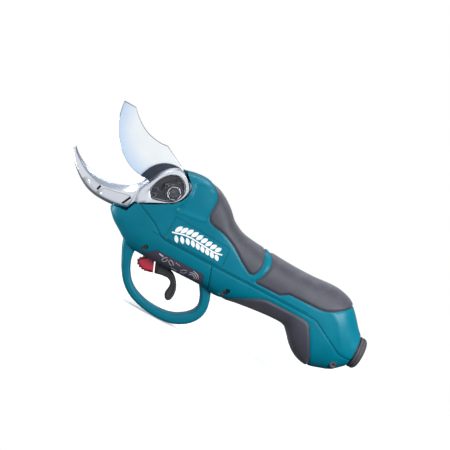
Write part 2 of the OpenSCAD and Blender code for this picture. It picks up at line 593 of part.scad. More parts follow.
module gear_case() color(steel) difference() {
    rod_x(case_r, case_x0, case_x1);
    rod_x(ring_out_r + 0.02, case_x0 + 2, gear_x + gear_len + 0.5);
    rod_x(screw_r + 1, case_x0 - 1, case_x0 + 3);
    rod_x(shaft_r + 2, case_x1 - 4, case_x1 + 1);
}

// Motor
module motor_can() color(dark_steel) difference() {
    rod_x(motor_r, motor_x, motor_end_x);
    rod_x(motor_r - 1.5, motor_x + 1.5, motor_end_x + 1);
    rod_x(shaft_r + 2, motor_x - 1, motor_x + 3);
}
module stator_core() color(dark_steel) difference() {
    rod_x(motor_r - 1.52, motor_x + 7, motor_end_x - 8);
    rod_x(stator_in_r, motor_x, motor_end_x);
    for (a = [30:60:330]) translate([0, 0, drive_z]) rotate([a, 0, 0])
        translate([motor_x, -1.2, stator_in_r - 1]) cube([motor_len, 2.4, 3.4]);
}
module stator_coils() color([0.72, 0.4, 0.2]) for (x = [motor_x + 3, motor_end_x - 8])
    tube_x(motor_r - 2.4, stator_in_r + 0.6, x, x + 4);
module motor_end_cap() color(dark_steel) difference() {
    union() {
        rod_x(motor_r, motor_end_x, motor_end_x + 2.5);
        rod_x(6, motor_end_x + 2.5, motor_end_x + 5);
    }
    rod_x(shaft_r + running, motor_end_x - 1, motor_end_x + 4);
}
module motor_rotor() color(steel) {
    rod_x(shaft_r, gear_x + gear_len, motor_end_x + 3.6);
    rod_x(shaft_r - 0.32, gear_x, gear_x + gear_len);
}
module rotor_magnets() color([0.35, 0.35, 0.37]) tube_x(stator_in_r - 0.5, shaft_r + 0.02, motor_x + 8,
    motor_end_x - 9);

// Trigger and lock-off lever, each on its own pin
trigger_pts = concat([[14.2, -61], [15.4, -53]], smooth([[17.4, -49.2], [21, -47.6], [24.6, -49.2], [26.4, -55]], 3),
    smooth([[28, -61.6], [33, -63.4], [37.6, -67.4], [40.6, -72.2], [41.8, -77], [41.6, -82],
    [40.4, -84.8], [38.4, -85.9], [36.2, -84.9], [34.8, -82.2], [34.9, -78.6], [35.3, -75], [34.5, -71.8],
    [32.4, -69.2], [29.4, -68]], 3), [[24, -68.6], [18, -70]]);
lock_pts = concat([[17, -70.3], [13.2, -61], [14.3, -53]], smooth([[13.4, -49.4], [10.5, -48], [7.6, -49.4],
    [6.6, -54]], 3), smooth([[6, -60.8], [2.6, -63], [0.2, -66.4], [1.4, -69.2], [4.4, -71.2], [9, -71.7], [13, -71.2],
    [17, -70.3]], 3));
module lever(pts, pivot) difference() {
    slab(-trigger_w / 2, trigger_w / 2) polygon(pts);
    rod_y(pin_r + running, -20, 20, pivot[0], pivot[1]);
}
module trigger() color([0.1, 0.1, 0.11]) lever(trigger_pts, trigger_pivot);
module lock_off_lever() color([0.7, 0.08, 0.13]) lever(lock_pts, lock_pivot);
pin_tail = 3;
module lever_pin(pivot) rod_y(pin_r, -slot_half_w - rib_t, slot_half_w + rib_t + pin_tail, pivot[0], pivot[1]);
module trigger_pin() color(steel) lever_pin(trigger_pivot);
module lock_off_pin() color(steel) lever_pin(lock_pivot);
// Torsion spring round a pin, its turns touching
wire_r = 0.36;
module coil_spring(pivot) for (i = [0:2])
    translate([pivot[0], slot_half_w + rib_t + 0.8 + i * 1.9 * wire_r, pivot[1]]) rotate([90, 0, 0])
        rotate_extrude() translate([pin_r + wire_r + 0.04, 0]) circle(r = wire_r);
module trigger_spring() color(steel) coil_spring(trigger_pivot);
module lock_off_spring() color(steel) coil_spring(lock_pivot);
module trigger_switch() color([0.12, 0.12, 0.13]) {
    translate([28.5, -6, -56.5]) cube([14, 12, 8]);
    for (x = [31, 38]) translate([x, -1.5, -48.5]) cube([2, 3, 1.6]);
}

// Electronics in the handle
board_x0 = motor_end_x + 14;
board_x1 = gx(164);
board_z = -42;
board_t = 1.6;
module control_board() color([0.08, 0.3, 0.16]) translate([board_x0, -12, board_z])
    cube([board_x1 - board_x0, 24, board_t]);
module board_capacitors() color([0.15, 0.16, 0.2]) for (i = [0:2])
    translate([board_x0 + 9 + 11 * i, 0, board_z + board_t]) cylinder(r = 4, h = 9);
module motor_leads() color([0.7, 0.1, 0.1]) for (y = [-8, 0, 8])
    rod_x(1.2, motor_end_x + 5.4, board_x0 - 0.4, y, board_z + 0.8);
lead_rise = board_z + 0.8 - socket_z;
lead_run = socket_back_x - board_x1 - 1.6;
module supply_leads() color([0.1, 0.1, 0.1]) for (y = [-5, 5])
    translate([board_x1 + 0.8, y, board_z + 0.8]) rotate([0, 90 + atan2(lead_rise, lead_run), 0])
        cylinder(r = 1.5, h = sqrt(lead_run * lead_run + lead_rise * lead_rise) - 1);

// Cable socket at the tail
collar_r = 14.2;
seal_t = 0.8;
contact_r = 1.6;
contact_spots = [for (a = [90, 210, 330]) 4.4 * [cos(a), sin(a)]];
module cable_socket() color([0.16, 0.16, 0.18]) difference() {
    rod_x(socket_body_r, socket_back_x, tail_x + seal_t, 0, socket_z);
    rod_x(socket_r, socket_x - socket_depth, socket_x + 1, 0, socket_z);
    for (c = contact_spots) rod_x(contact_r + 0.02, socket_x - socket_depth - 9, socket_x, c[0],
        socket_z + c[1]);
}
module contact_sleeves() color(brass) for (c = contact_spots) difference() {
    rod_x(contact_r, socket_x - socket_depth - 9, socket_x - socket_depth, c[0], socket_z + c[1]);
    rod_x(contact_r - 0.6, socket_x - socket_depth - 6, socket_x, c[0], socket_z + c[1]);
}
module socket_collar() color([0.24, 0.22, 0.26]) translate([0, 0, socket_z]) rotate([0, 90, 0])
    rotate_extrude() polygon(concat([[socket_r, tail_x + seal_t], [collar_r, tail_x + seal_t]],
        [for (a = [0:15:90]) [collar_r - 3.4 + 3.4 * cos(a), socket_x - 4.4 + 4.4 * sin(a)]],
        [[socket_r, socket_x]]));
module socket_seal() color([0.05, 0.05, 0.05]) tube_x(collar_r - 0.8, socket_body_r + 0.02, tail_x + 0.02,
    tail_x + seal_t, socket_z);

module housing_screws() color(steel) for (s = screw_spots) translate([s[0], 0, s[1]])
    rotate([0, 0, s[3] < 0 ? 0 : 180]) {
        difference() {
            rod_y(screw_head_r, -screw_seat_y - screw_head_t, -screw_seat_y);
            rod_y(1.5, -screw_seat_y - screw_head_t - 1, -screw_seat_y - 1, $fn = 6);
        }
        rod_y(screw_r_shank, -screw_seat_y, 11);
    }

// Moves the tool so that the socket's mouth is the origin
module placed() translate([-socket_x, 0, -socket_z]) children();

placed() housing_left();
placed() housing_right();
placed() guard_frame();
placed() trigger_guard();
placed() lower_shell_left();
placed() lower_shell_right();
placed() front_grip();
placed() rear_grip();
placed() lower_grip();
placed() trigger_label_left();
placed() trigger_label_right();
placed() name_panel_left();
placed() name_panel_right();
placed() hook_blade();
placed() shroud_plate();
placed() lock_plate();
placed() lock_plate_screws();
placed() nut_lock_screw();
placed() head_frame();
placed() spindle_bush();
placed() screw_front_bush();
placed() screw_rear_bearing();
placed() gear_case();
placed() ring_gear();
placed() motor_can();
placed() motor_end_cap();
placed() stator_core();
placed() stator_coils();
placed() trigger_pin();
placed() lock_off_pin();
placed() trigger_spring();
placed() lock_off_spring();
placed() trigger_switch();
placed() control_board();
placed() board_capacitors();
placed() motor_leads();
placed() supply_leads();
placed() cable_socket();
placed() socket_collar();
placed() socket_seal();
placed() contact_sleeves();
placed() housing_screws();
placed() cutting_blade();
placed() blade_spindle();
placed() sector_gear();
placed() pivot_nut();
placed() pivot_washer();
placed() screw_nut();
placed() drive_rack();
placed() drive_screw();
placed() planet_carrier();
placed() planet_pins();
placed() planet_gear_1();
placed() planet_gear_2();
placed() planet_gear_3();
placed() motor_rotor();
placed() rotor_magnets();
placed() sun_gear();
placed() trigger();
placed() lock_off_lever();
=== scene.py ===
"""Electric hand pruner for orchards and vineyards: the looks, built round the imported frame.

Shapes are drawn in millimetres with the blade's pivot at the origin, the cutting head towards -X and
the handle towards +X, and are moved into the frame when a piece is finished.
"""
import json
import math

import bmesh
import bpy
import numpy as np
from mathutils import Matrix, Vector


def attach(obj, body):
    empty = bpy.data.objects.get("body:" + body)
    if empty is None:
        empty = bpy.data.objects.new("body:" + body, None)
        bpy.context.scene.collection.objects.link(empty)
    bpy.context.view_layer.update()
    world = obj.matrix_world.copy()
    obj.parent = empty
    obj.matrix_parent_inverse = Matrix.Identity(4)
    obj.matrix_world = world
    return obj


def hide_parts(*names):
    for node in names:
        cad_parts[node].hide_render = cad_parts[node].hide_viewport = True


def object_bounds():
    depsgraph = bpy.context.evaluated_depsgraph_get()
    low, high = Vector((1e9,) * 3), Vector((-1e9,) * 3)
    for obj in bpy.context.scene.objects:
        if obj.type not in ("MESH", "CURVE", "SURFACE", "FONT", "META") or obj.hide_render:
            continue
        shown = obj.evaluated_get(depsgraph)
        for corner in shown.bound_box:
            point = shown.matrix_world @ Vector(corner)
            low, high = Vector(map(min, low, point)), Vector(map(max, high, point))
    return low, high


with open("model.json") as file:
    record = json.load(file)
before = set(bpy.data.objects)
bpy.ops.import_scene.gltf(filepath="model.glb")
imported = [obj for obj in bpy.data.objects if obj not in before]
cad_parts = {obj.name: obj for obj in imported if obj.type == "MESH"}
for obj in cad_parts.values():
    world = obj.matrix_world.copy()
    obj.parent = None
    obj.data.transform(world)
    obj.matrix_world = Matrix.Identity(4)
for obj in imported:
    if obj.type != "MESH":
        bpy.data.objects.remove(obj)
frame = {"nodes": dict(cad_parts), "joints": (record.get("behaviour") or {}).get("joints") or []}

bl_info = {
    "name": "Vineyard Pruner",
    "version": (1, 0, 0),
    "blender": (4, 5, 0),
    "location": "View3D > Sidebar > Pruner",
    "description": "Builds the shells, grips, hook, blade and levers of an electric pruner round its frame",
    "category": "Object",
}

MM = 0.001
JOINTS = {joint["name"]: joint for joint in frame["joints"]}
PIVOT = Vector(JOINTS["blade_pivot"]["pos_m"])
CAD_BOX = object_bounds()

# Upper and lower profile of the body, its half width and the squareness of its section, along X
TOP = [(-42.6, -36), (-41.6, -33.4), (-40, -30.4), (-37, -25), (-32, -16), (-27.5, -4), (-22.5, 7),
       (-15, 15.6), (-6, 20.2), (1, 21.4), (9, 23.2), (19.5, 23.8), (30, 21.3), (41, 16.3), (50, 9.9),
       (58.5, 1.8), (69, -3.8), (80, -6), (95, -7.2), (119, -8.8), (141, -9), (162, -7.6), (173, -9),
       (182, -12.6), (190.5, -20.5), (199, -30.2), (205, -36)]
BOTTOM = [(-42.6, -36.6), (-41.6, -38.4), (-40, -40.4), (-35, -45.5), (-27, -51), (-19.5, -56), (-12, -59.6),
          (-4, -60.6), (30, -60.6), (60, -60.6), (70, -62.4), (80, -61.9), (90, -60), (108, -57.9),
          (130, -56.4), (139, -57.6), (145, -63), (151.6, -70.3), (160, -76.4), (172, -79.6),
          (184, -77), (194, -73.2), (199.5, -68.5), (205, -63.5)]
WIDTH = [(-42.6, 1.2), (-41.8, 4.4), (-40, 7.8), (-36, 11), (-28, 14.5), (-18, 17.5), (0, 20), (20, 21.4),
         (45, 22), (70, 21.6), (95, 20.4), (120, 19.6), (150, 19.6), (175, 20), (190, 18.2), (205, 15)]
SQUARE = [(-42.6, 2.1), (-20, 3), (0, 3.6), (45, 3.6), (75, 3), (110, 2.5), (160, 2.5), (205, 2.1)]
NOSE_X, TAIL_X = -42.5, 204.0
SEAM = [(-20, -22), (-4, -29), (9, -38.3), (57, -38.7), (159, -39), (191.6, -56.7), (230, -58)]
POST_SPLIT = [(57, -38.7), (65, -61), (67.5, -90)]
HOOK_POCKET = [(-60, -34), (-40, -34), (-29, -32.4), (-25.8, -23.9), (-9, -15), (2.6, -8.4), (8.6, -2.5),
               (11.4, 3.8), (11.6, 10.4), (7.4, 16), (3, 20), (1, 23), (1, 60), (-60, 60)]
# The levels of the steel parts across the tool
HOOK_BACK, HOOK_FACE, RING_FACE = -3.0, -9.0, -15.0
BLADE_FACE, BLADE_BACK = -2.7, 1.3
# Shell screws: place, and the side that the head is on
SCREW_SPOTS = [(-1, -53, -1), (78, -55.4, -1), (192, -67, -1), (46, 4, 1), (176, -30, 1)]
SCREW_SEAT, BORE_TOP, POCKET_FLOOR = 12, 14.7, 14.6
# Cutters reach this far from the middle plane, well past the sides of the tool
FAR = 60
# Turns what was made along Y so that it lies along X
ALONG_X = Matrix.Rotation(-math.pi / 2, 4, "Z")
SPINDLE_CLEARANCE = 5.1
LOCK_SCREW_BORE = 1.35


# ---------------------------------------------------------------- curves and outlines

def spline(points, steps=8):
    """A smooth open curve through the points, with steps stretches between each pair."""
    p = np.array(points, float)
    padded = np.vstack([p[:1], p, p[-1:]])
    out = []
    for i in range(len(p) - 1):
        a, b, c, d = padded[i:i + 4]
        for t in np.arange(steps) / steps:
            out.append(0.5 * (2 * b + (c - a) * t + (2 * a - 5 * b + 4 * c - d) * t * t
                              + (3 * b - a - 3 * c + d) * t ** 3))
    out.append(p[-1])
    return np.array(out)


def closed_spline(points, steps=8):
    """A smooth closed curve through the points."""
    p = np.array(points, float)
    count = len(p)
    wrapped = spline([p[(i - 2) % count] for i in range(count + 5)], steps)
    return wrapped[2 * steps:(2 + count) * steps]


def resample(points, count):
    """count points at even distances along an open line."""
    p = np.array(points, float)
    run = np.concatenate([[0], np.cumsum(np.linalg.norm(np.diff(p, axis=0), axis=1))])
    at = np.linspace(0, run[-1], count)
    return np.column_stack([np.interp(at, run, p[:, k]) for k in range(p.shape[1])])


def along(knots, x):
    """The value at x on a smooth curve through (x, value) knots."""
    k = np.array(knots, float)
    low, high = np.maximum(np.arange(len(k)) - 1, 0), np.minimum(np.arange(len(k)) + 1, len(k) - 1)
    slope = (k[high, 1] - k[low, 1]) / (k[high, 0] - k[low, 0])
    i = np.clip(np.searchsorted(k[:, 0], x, side="right") - 1, 0, len(k) - 2)
    h = k[i + 1, 0] - k[i, 0]
    t = (x - k[i, 0]) / h
    return (k[i, 1] * (2 * t ** 3 - 3 * t ** 2 + 1) + slope[i] * h * (t ** 3 - 2 * t ** 2 + t)
            + k[i + 1, 1] * (3 * t ** 2 - 2 * t ** 3) + slope[i + 1] * h * (t ** 3 - t ** 2))


def distance_to(line, x, z):
    """How far each point (x, z) is from a line of points."""
    line = np.array(line, float)
    best = np.full(len(x), 1e9)
    for a, b in zip(line[:-1], line[1:]):
        d = b - a
        t = np.clip(((x - a[0]) * d[0] + (z - a[1]) * d[1]) / max(d @ d, 1e-9), 0, 1)
        best = np.minimum(best, np.hypot(x - a[0] - t * d[0], z - a[1] - t * d[1]))
    return best


def inside(outline, x, z):
    """Whether each point (x, z) lies inside a closed outline."""
    outline = np.array(outline, float)
    odd = np.zeros(len(x), bool)
    for a, b in zip(outline, np.roll(outline, -1, axis=0)):
        crosses = (a[1] > z) != (b[1] > z)
        rise = b[1] - a[1] if abs(b[1] - a[1]) > 1e-9 else 1e-9
        odd ^= crosses & (x < (b[0] - a[0]) * (z - a[1]) / rise + a[0])
    return odd


def closed(outline):
    return np.vstack([np.array(outline, float), [outline[0]]])


def grown(outline, amount):
    """The outline moved outwards by amount."""
    p = np.array(outline, float)
    area = 0.5 * np.sum(p[:, 0] * np.roll(p[:, 1], -1) - np.roll(p[:, 0], -1) * p[:, 1])
    ahead, behind = np.roll(p, -1, axis=0) - p, p - np.roll(p, 1, axis=0)
    ahead /= np.linalg.norm(ahead, axis=1)[:, None]
    behind /= np.linalg.norm(behind, axis=1)[:, None]
    side = 1 if area > 0 else -1
    n1 = np.column_stack([ahead[:, 1], -ahead[:, 0]]) * side
    n2 = np.column_stack([behind[:, 1], -behind[:, 0]]) * side
    mitre = n1 + n2
    return p + amount * 2 * mitre / np.maximum((mitre ** 2).sum(1), 1.0)[:, None]


def thick_line(points, width):
    """The outline of a line of that width, with square ends."""
    p = np.array(points, float)
    d = np.gradient(p, axis=0)
    normal = np.column_stack([-d[:, 1], d[:, 0]]) / np.linalg.norm(d, axis=1)[:, None]
    return np.vstack([p + normal * width / 2, (p - normal * width / 2)[::-1]])


# Outlines of what is moulded onto the body, seen from the side
FRONT_GRIP = np.vstack([[(25, 40)], spline([(26, 22), (31, 19.5), (34.4, 15), (35.6, 9), (35, 1), (37, -5),
                        (42, -8), (52, -9.8), (65, -15), (79, -24.5), (89, -30)], 5),
                        spline([(92.4, -29.6), (95, -25), (96, -17), (93, -7), (92, 0)], 5), [(92, 40)]])
REAR_GRIP = np.vstack([[(96, 20)],
                       spline([(97, -6), (101.6, -11.5), (102.8, -18), (100.5, -27), (97, -33.4)], 5),
                       [(98.6, -34.6), (121, -34.6), (124.6, -32.4)],
                       spline([(128, -30.2), (143, -29.8), (158, -29.4), (166, -27.4), (175, -22.4),
                               (184, -15.5), (187, -11)],
                              5),
                       [(187, 20)]])
LOWER_GRIP = np.vstack([[(71.5, -90), (71.5, -66)], spline([(74, -64.2), (85, -58.4), (96, -52), (107, -45.8),
                        (114, -43.8), (130, -43.4), (149, -43.4), (155.4, -45.4), (160, -52), (167, -64),
                        (171.4, -72), (174, -80)], 5), [(174, -90)]])
LABEL = [(-1, -59.4), (8.6, -50.2), (11, -49.4), (53.4, -49.4), (55.4, -50.6), (58, -59.4)]
NAME_PANEL = [(11, -15.8), (61.6, -18.4), (64.4, -20.6), (65, -34.4), (63.6, -35.8), (10, -35.8)]
UPPER_AREA = SEAM + [(300, 60), (-80, 60), (-80, -22)]
GUARD_AREA = [(-80, -22)] + SEAM[:4] + [POST_SPLIT[1], POST_SPLIT[2], (-80, -90)]
LOWER_AREA = SEAM[3:] + [(300, -58), (300, -120), (67.5, -120), POST_SPLIT[2], POST_SPLIT[1]]
SHOULDER = closed_spline([(12.4, 15), (17, 17.6), (25, 18), (32, 16.6), (34.6, 9), (34, 0), (33, -6),
                          (26, -7.6), (17, -8.6), (9, -9.4), (11, -3), (13.4, 6)],
                         4)


# ---------------------------------------------------------------- mesh helpers

def new_object(name, bm):
    mesh = bpy.data.meshes.new(name)
    bm.to_mesh(mesh)
    bm.free()
    piece = bpy.data.objects.new(name, mesh)
    bpy.context.scene.collection.objects.link(piece)
    return piece


def drop(*pieces):
    for piece in pieces:
        mesh = piece.data
        bpy.data.objects.remove(piece)
        bpy.data.meshes.remove(mesh)


def loft(name, rings, shift=None):
    """A closed solid through rings of points; shift moves points along their normals."""
    rings = np.asarray(rings, float)
    ring_count, count = rings.shape[:2]
    bm = bmesh.new()
    bmesh.ops.create_grid(bm, x_segments=count, y_segments=ring_count - 1, size=1)
    for index, vert in enumerate(bm.verts):
        ring, column = divmod(index, count + 1)
        vert.co = rings[ring, column % count]
    bmesh.ops.remove_doubles(bm, verts=bm.verts, dist=1e-4)
    rim = [edge for edge in bm.edges if edge.is_boundary]
    bmesh.ops.holes_fill(bm, edges=rim, sides=0)
    bmesh.ops.recalc_face_normals(bm, faces=bm.faces)
    if shift is not None:
        bm.normal_update()
        co = np.array([v.co for v in bm.verts])
        normal = np.array([v.normal for v in bm.verts])
        moved = co + normal * shift(co)[:, None]
        for vert, place in zip(bm.verts, moved):
            vert.co = place
    return new_object(name, bm)


def add_prism(bm, outline, y0, y1):
    """Adds an outline drawn in X and Z, given thickness from y0 to y1."""
    verts = [bm.verts.new((x, y0, z)) for x, z in outline]
    edges = [bm.edges.new(pair) for pair in zip(verts, verts[1:] + verts[:1])]
    face = bmesh.ops.contextual_create(bm, geom=edges)["faces"][0]
    made = bmesh.ops.extrude_face_region(bm, geom=[face])["geom"]
    bmesh.ops.translate(bm, vec=(0, y1 - y0, 0), verts=[g for g in made if isinstance(g, bmesh.types.BMVert)])


def prism(name, outlines, y0, y1):
    """One object of prisms, one for each outline."""
    bm = bmesh.new()
    for outline in outlines:
        add_prism(bm, outline, y0, y1)
    bmesh.ops.recalc_face_normals(bm, faces=bm.faces)
    return new_object(name, bm)


def rod(name, radius, y0, y1, x=0, z=0, segments=48):
    """A round bar along Y."""
    return prism(name, [circle(radius, x, z, segments)], y0, y1)


def circle(radius, x=0, z=0, segments=48, turn=0.0):
    a = np.arange(segments) * 2 * math.pi / segments + turn
    return np.column_stack([x + radius * np.cos(a), z + radius * np.sin(a)])


def carve(piece, *steps):
    """Joins, cuts or meets a piece with others; each step is (operation, other), and the others stay."""
    for operation, other in steps:
        modifier = piece.modifiers.new("carve", "BOOLEAN")
        modifier.operation = operation
        modifier.solver = "MANIFOLD"
        modifier.object = other
    depsgraph = bpy.context.evaluated_depsgraph_get()
    mesh = bpy.data.meshes.new_from_object(piece.evaluated_get(depsgraph))
    piece.modifiers.clear()
    old = piece.data
    piece.data = mesh
    bpy.data.meshes.remove(old)
    if not mesh.polygons:
        raise RuntimeError(f"{piece.name} was carved away")
    return piece


def cut(piece, *cutters):
    """Takes each cutter out of a piece in turn; the cutters stay."""
    return carve(piece, *[("DIFFERENCE", cutter) for cutter in cutters])


def copy_of(piece, name):
    other = piece.copy()
    other.data = piece.data.copy()
    other.name = name
    bpy.context.scene.collection.objects.link(other)
    return other


def soften(bm, offset, segments=2, sharper_than=40, edges=None):
    """Bevels the edges that are sharper than an angle in degrees."""
    bm.normal_update()
    chosen = edges if edges is not None else [
        e for e in bm.edges if len(e.link_faces) == 2 and e.calc_face_angle(0) > math.radians(sharper_than)]
    bmesh.ops.bevel(bm, geom=chosen, offset=offset, segments=segments, profile=0.5, affect="EDGES",
                    material=-1, clamp_overlap=True)


def rounded_prism(name, outline, y0, y1, offset, segments=3, sharper_than=40):
    bm = bmesh.new()
    add_prism(bm, outline, y0, y1)
    bmesh.ops.recalc_face_normals(bm, faces=bm.faces)
    soften(bm, offset, segments, sharper_than)
    return new_object(name, bm)


def pillow(name, outline, y0, y1, radius, count=140, steps=5):
    """An outline drawn in X and Z, given thickness from y0 to y1 with its edges rounded to a radius."""
    smooth = resample(closed(outline), count + 1)[:-1]
    turn = np.linspace(0, math.pi / 2, steps + 1)
    levels = [(radius * (1 - math.sin(a)), y0 + radius * (1 - math.cos(a))) for a in turn]
    levels += [(inset, y0 + y1 - y) for inset, y in levels[::-1]]
    return loft(name, [at_level(grown(smooth, -inset), y) for inset, y in levels])


def finish_piece(piece, name, material, body, slot, *replaced, angle=32):
    """Puts a piece in its place in the frame, shades it, and says what it rides on and stands for."""
    piece.name = name
    piece.data.name = name
    bm = bmesh.new()
    bm.from_mesh(piece.data)
    bmesh.ops.remove_doubles(bm, verts=bm.verts, dist=0.002)
    bmesh.ops.dissolve_degenerate(bm, edges=bm.edges, dist=0.001)
    bmesh.ops.transform(bm, matrix=Matrix.Translation(PIVOT) @ Matrix.Scale(MM, 4), verts=bm.verts)
    bm.to_mesh(piece.data)
    bm.free()
    piece.data.shade_smooth()
    piece.data.set_sharp_from_angle(angle=math.radians(angle))
    piece.data.materials.clear()
    piece.data.materials.append(material)
    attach(piece, body)
    if replaced:
        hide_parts(*replaced)
    return piece


# ---------------------------------------------------------------- the body's form

def steepness(knots, x):
    rise = along(knots, x + 0.5) - along(knots, x - 0.5)
    return np.minimum(np.sqrt(1 + rise * rise), 2.4)


def body_rings(grow, from_x, to_x, ring_count, points, edge_round=0.0):
    """Sections of the body, evenly spaced along its surface, grown by an amount."""
    fine = np.linspace(from_x, to_x, 1500)
    top, low = along(TOP, fine), along(BOTTOM, fine)
    steps = np.sqrt(np.diff(fine) ** 2 + 0.5 * (np.diff(top) ** 2 + np.diff(low) ** 2))
    run = np.concatenate([[0], np.cumsum(steps)])
    x = np.interp(np.linspace(0, run[-1], ring_count), run, fine)
    shrink = np.zeros_like(x)
    if edge_round:
        into = np.clip((x - (to_x - edge_round)) / edge_round, 0, 1)
        shrink = edge_round * (1 - np.sqrt(1 - into ** 2))
    amount = grow - shrink
    top = along(TOP, x) + amount * steepness(TOP, x)
    low = along(BOTTOM, x) - amount * steepness(BOTTOM, x)
    middle, tall = (top + low) / 2, np.maximum((top - low) / 2, 0.3)
    wide = np.maximum(along(WIDTH, x) + amount, 0.3)
    power = along(SQUARE, x)[:, None]
    a = (np.arange(points) + 0.5) * 2 * math.pi / points
    c, s = np.cos(a)[None, :], np.sin(a)[None, :]
    reach = (np.abs(c) ** power + np.abs(s) ** power) ** (-1 / power)
    return np.stack([np.broadcast_to(x[:, None], reach.shape), wide[:, None] * reach * c,
                     middle[:, None] + tall[:, None] * reach * s], axis=2)


def shell_relief(co):
    """How far the teal shells stand out of or sink into the plain form, in mm."""
    x, y, z = co[:, 0], co[:, 1], co[:, 2]
    soft = bpy.context.scene.pruner_sizes.edge_softness / MM
    seam_dip, bed_dip, shoulder_step, strap_rise, crease_rise = 0.34, 0.3, 1.3, 0.55, 0.5
    out = np.zeros(len(co))
    for line in (SEAM, POST_SPLIT[:2]):
        out -= seam_dip * np.exp(-(distance_to(line, x, z) / soft) ** 2)
    for outline in (FRONT_GRIP, REAR_GRIP, LOWER_GRIP):
        out -= bed_dip * np.exp(-(distance_to(closed(outline), x, z) / soft) ** 2)
    out -= bed_dip * np.exp(-(y / soft) ** 2) * ((x > 60) | (z > 0))
    edge = distance_to(closed(SHOULDER), x, z)
    signed = np.where(inside(SHOULDER, x, z), edge, -edge)
    out -= shoulder_step / (1 + np.exp(-signed / 0.55)) * (np.abs(y) > 6)
    out += 0.5 * np.exp(-((signed + 1.4) / 1.3) ** 2) * (np.abs(y) > 6)
    strap = spline([(94.4, 0), (95.4, -8), (99, -14), (99.6, -20), (98, -27), (94.6, -32.6)], 5)
    out += strap_rise * np.exp(-(distance_to(strap, x, z) / 1.5) ** 2)
    tail_crease = [(163, -24), (176, -31), (186, -43), (193, -52)]
    out += crease_rise * np.exp(-(distance_to(spline(tail_crease, 5), x, z) / 3.5) ** 2) * (np.abs(y) > 5)
    return out


def grip_relief(outline):
    """A raised pad that rounds off towards its own outline."""
    proud = bpy.context.scene.pruner_sizes.grip_proud / MM

    def relief(co):
        near = distance_to(closed(outline), co[:, 0], co[:, 2])
        return proud - (proud + 0.5) * np.exp(-(near / 1.15) ** 2)
    return relief


# ---------------------------------------------------------------- materials

def node_group(name, inputs, outputs, build):
    """A shader node group, built once."""
    if name in bpy.data.node_groups:
        return bpy.data.node_groups[name]
    group = bpy.data.node_groups.new(name, "ShaderNodeTree")
    for label, value in inputs.items():
        socket = group.interface.new_socket(label, in_out="INPUT", socket_type="NodeSocketFloat")
        socket.default_value = value
    for label in outputs:
        group.interface.new_socket(label, in_out="OUTPUT", socket_type="NodeSocketFloat")
    build(group, group.nodes.new("NodeGroupInput"), group.nodes.new("NodeGroupOutput"))
    return group


def math_node(tree, operation, a, b=None, clamp=False):
    node = tree.nodes.new("ShaderNodeMath")
    node.operation = operation
    node.use_clamp = clamp
    for socket, value in zip(node.inputs, (a, b)):
        if value is None:
            continue
        if isinstance(value, (int, float)):
            socket.default_value = value
        else:
            tree.links.new(value, socket)
    return node.outputs[0]


def noise_node(tree, vector, scale, detail=3.0, rough=0.5):
    node = tree.nodes.new("ShaderNodeTexNoise")
    node.inputs["Detail"].default_value = detail
    node.inputs["Roughness"].default_value = rough
    tree.links.new(vector, node.inputs["Vector"])
    if isinstance(scale, (int, float)):
        node.inputs["Scale"].default_value = scale
    else:
        tree.links.new(scale, node.inputs["Scale"])
    return node.outputs["Fac"]


def ramp_node(tree, value, low, high):
    node = tree.nodes.new("ShaderNodeMapRange")
    node.interpolation_type = "SMOOTHSTEP"
    node.inputs["From Min"].default_value = low
    node.inputs["From Max"].default_value = high
    tree.links.new(value, node.inputs["Value"])
    return node.outputs["Result"]


def moulded_grain():
    """Fine spark-eroded grain of moulded plastic and rubber."""
    def build(tree, start, end):
        place = tree.nodes.new("ShaderNodeTexCoord").outputs["Object"]
        fine = noise_node(tree, place, start.outputs["Scale"], 4)
        cells = tree.nodes.new("ShaderNodeTexVoronoi")
        tree.links.new(place, cells.inputs["Vector"])
        tree.links.new(start.outputs["Scale"], cells.inputs["Scale"])
        height = math_node(tree, "ADD", fine, math_node(tree, "MULTIPLY", cells.outputs["Distance"],
                                                               start.outputs["Pebble"]))
        tree.links.new(height, end.inputs["Height"])
    return node_group("moulded_grain", {"Scale": 2500.0, "Pebble": 0.4}, ["Height"], build)


def handling_marks():
    """Smudges that change the gloss, and sparse thin scuffs."""
    def build(tree, start, end):
        place = tree.nodes.new("ShaderNodeTexCoord").outputs["Object"]
        broad = noise_node(tree, place, 38.0, 4, 0.6)
        smudge = math_node(tree, "MULTIPLY", math_node(tree, "SUBTRACT", broad, 0.5),
                           start.outputs["Smudge"])
        tree.links.new(math_node(tree, "ADD", start.outputs["Roughness"], smudge, clamp=True),
                  end.inputs["Roughness"])
        stretch = tree.nodes.new("ShaderNodeMapping")
        stretch.inputs["Scale"].default_value = (130, 900, 1500)
        stretch.inputs["Rotation"].default_value = (0, 0.5, 0.2)
        tree.links.new(place, stretch.inputs["Vector"])
        streak = noise_node(tree, stretch.outputs["Vector"], 1.0, 2)
        rare = ramp_node(tree, noise_node(tree, place, 60.0, 2), 0.55, 0.7)
        thin = ramp_node(tree, streak, 0.66, 0.72)
        mask = math_node(tree, "MULTIPLY", math_node(tree, "MULTIPLY", rare, thin),
                         start.outputs["Scuffs"])
        tree.links.new(mask, end.inputs["Scuff"])
    return node_group("handling_marks", {"Roughness": 0.4, "Smudge": 0.2, "Scuffs": 0.3},
                      ["Roughness", "Scuff"], build)


def brushed_lines():
    """Fine lines left by grinding, along the X axis of the pattern."""
    def build(tree, start, end):
        place = tree.nodes.new("ShaderNodeTexCoord").outputs["Object"]
        turn = tree.nodes.new("ShaderNodeMapping")
        turn.inputs["Scale"].default_value = (60, 2200, 2200)
        turn.inputs["Rotation"].default_value = (0, 0.35, 0)
        tree.links.new(place, turn.inputs["Vector"])
        lines = noise_node(tree, turn.outputs["Vector"], 1.0, 3, 0.6)
        tree.links.new(lines, end.inputs["Lines"])
    return node_group("brushed_lines", {}, ["Lines"], build)


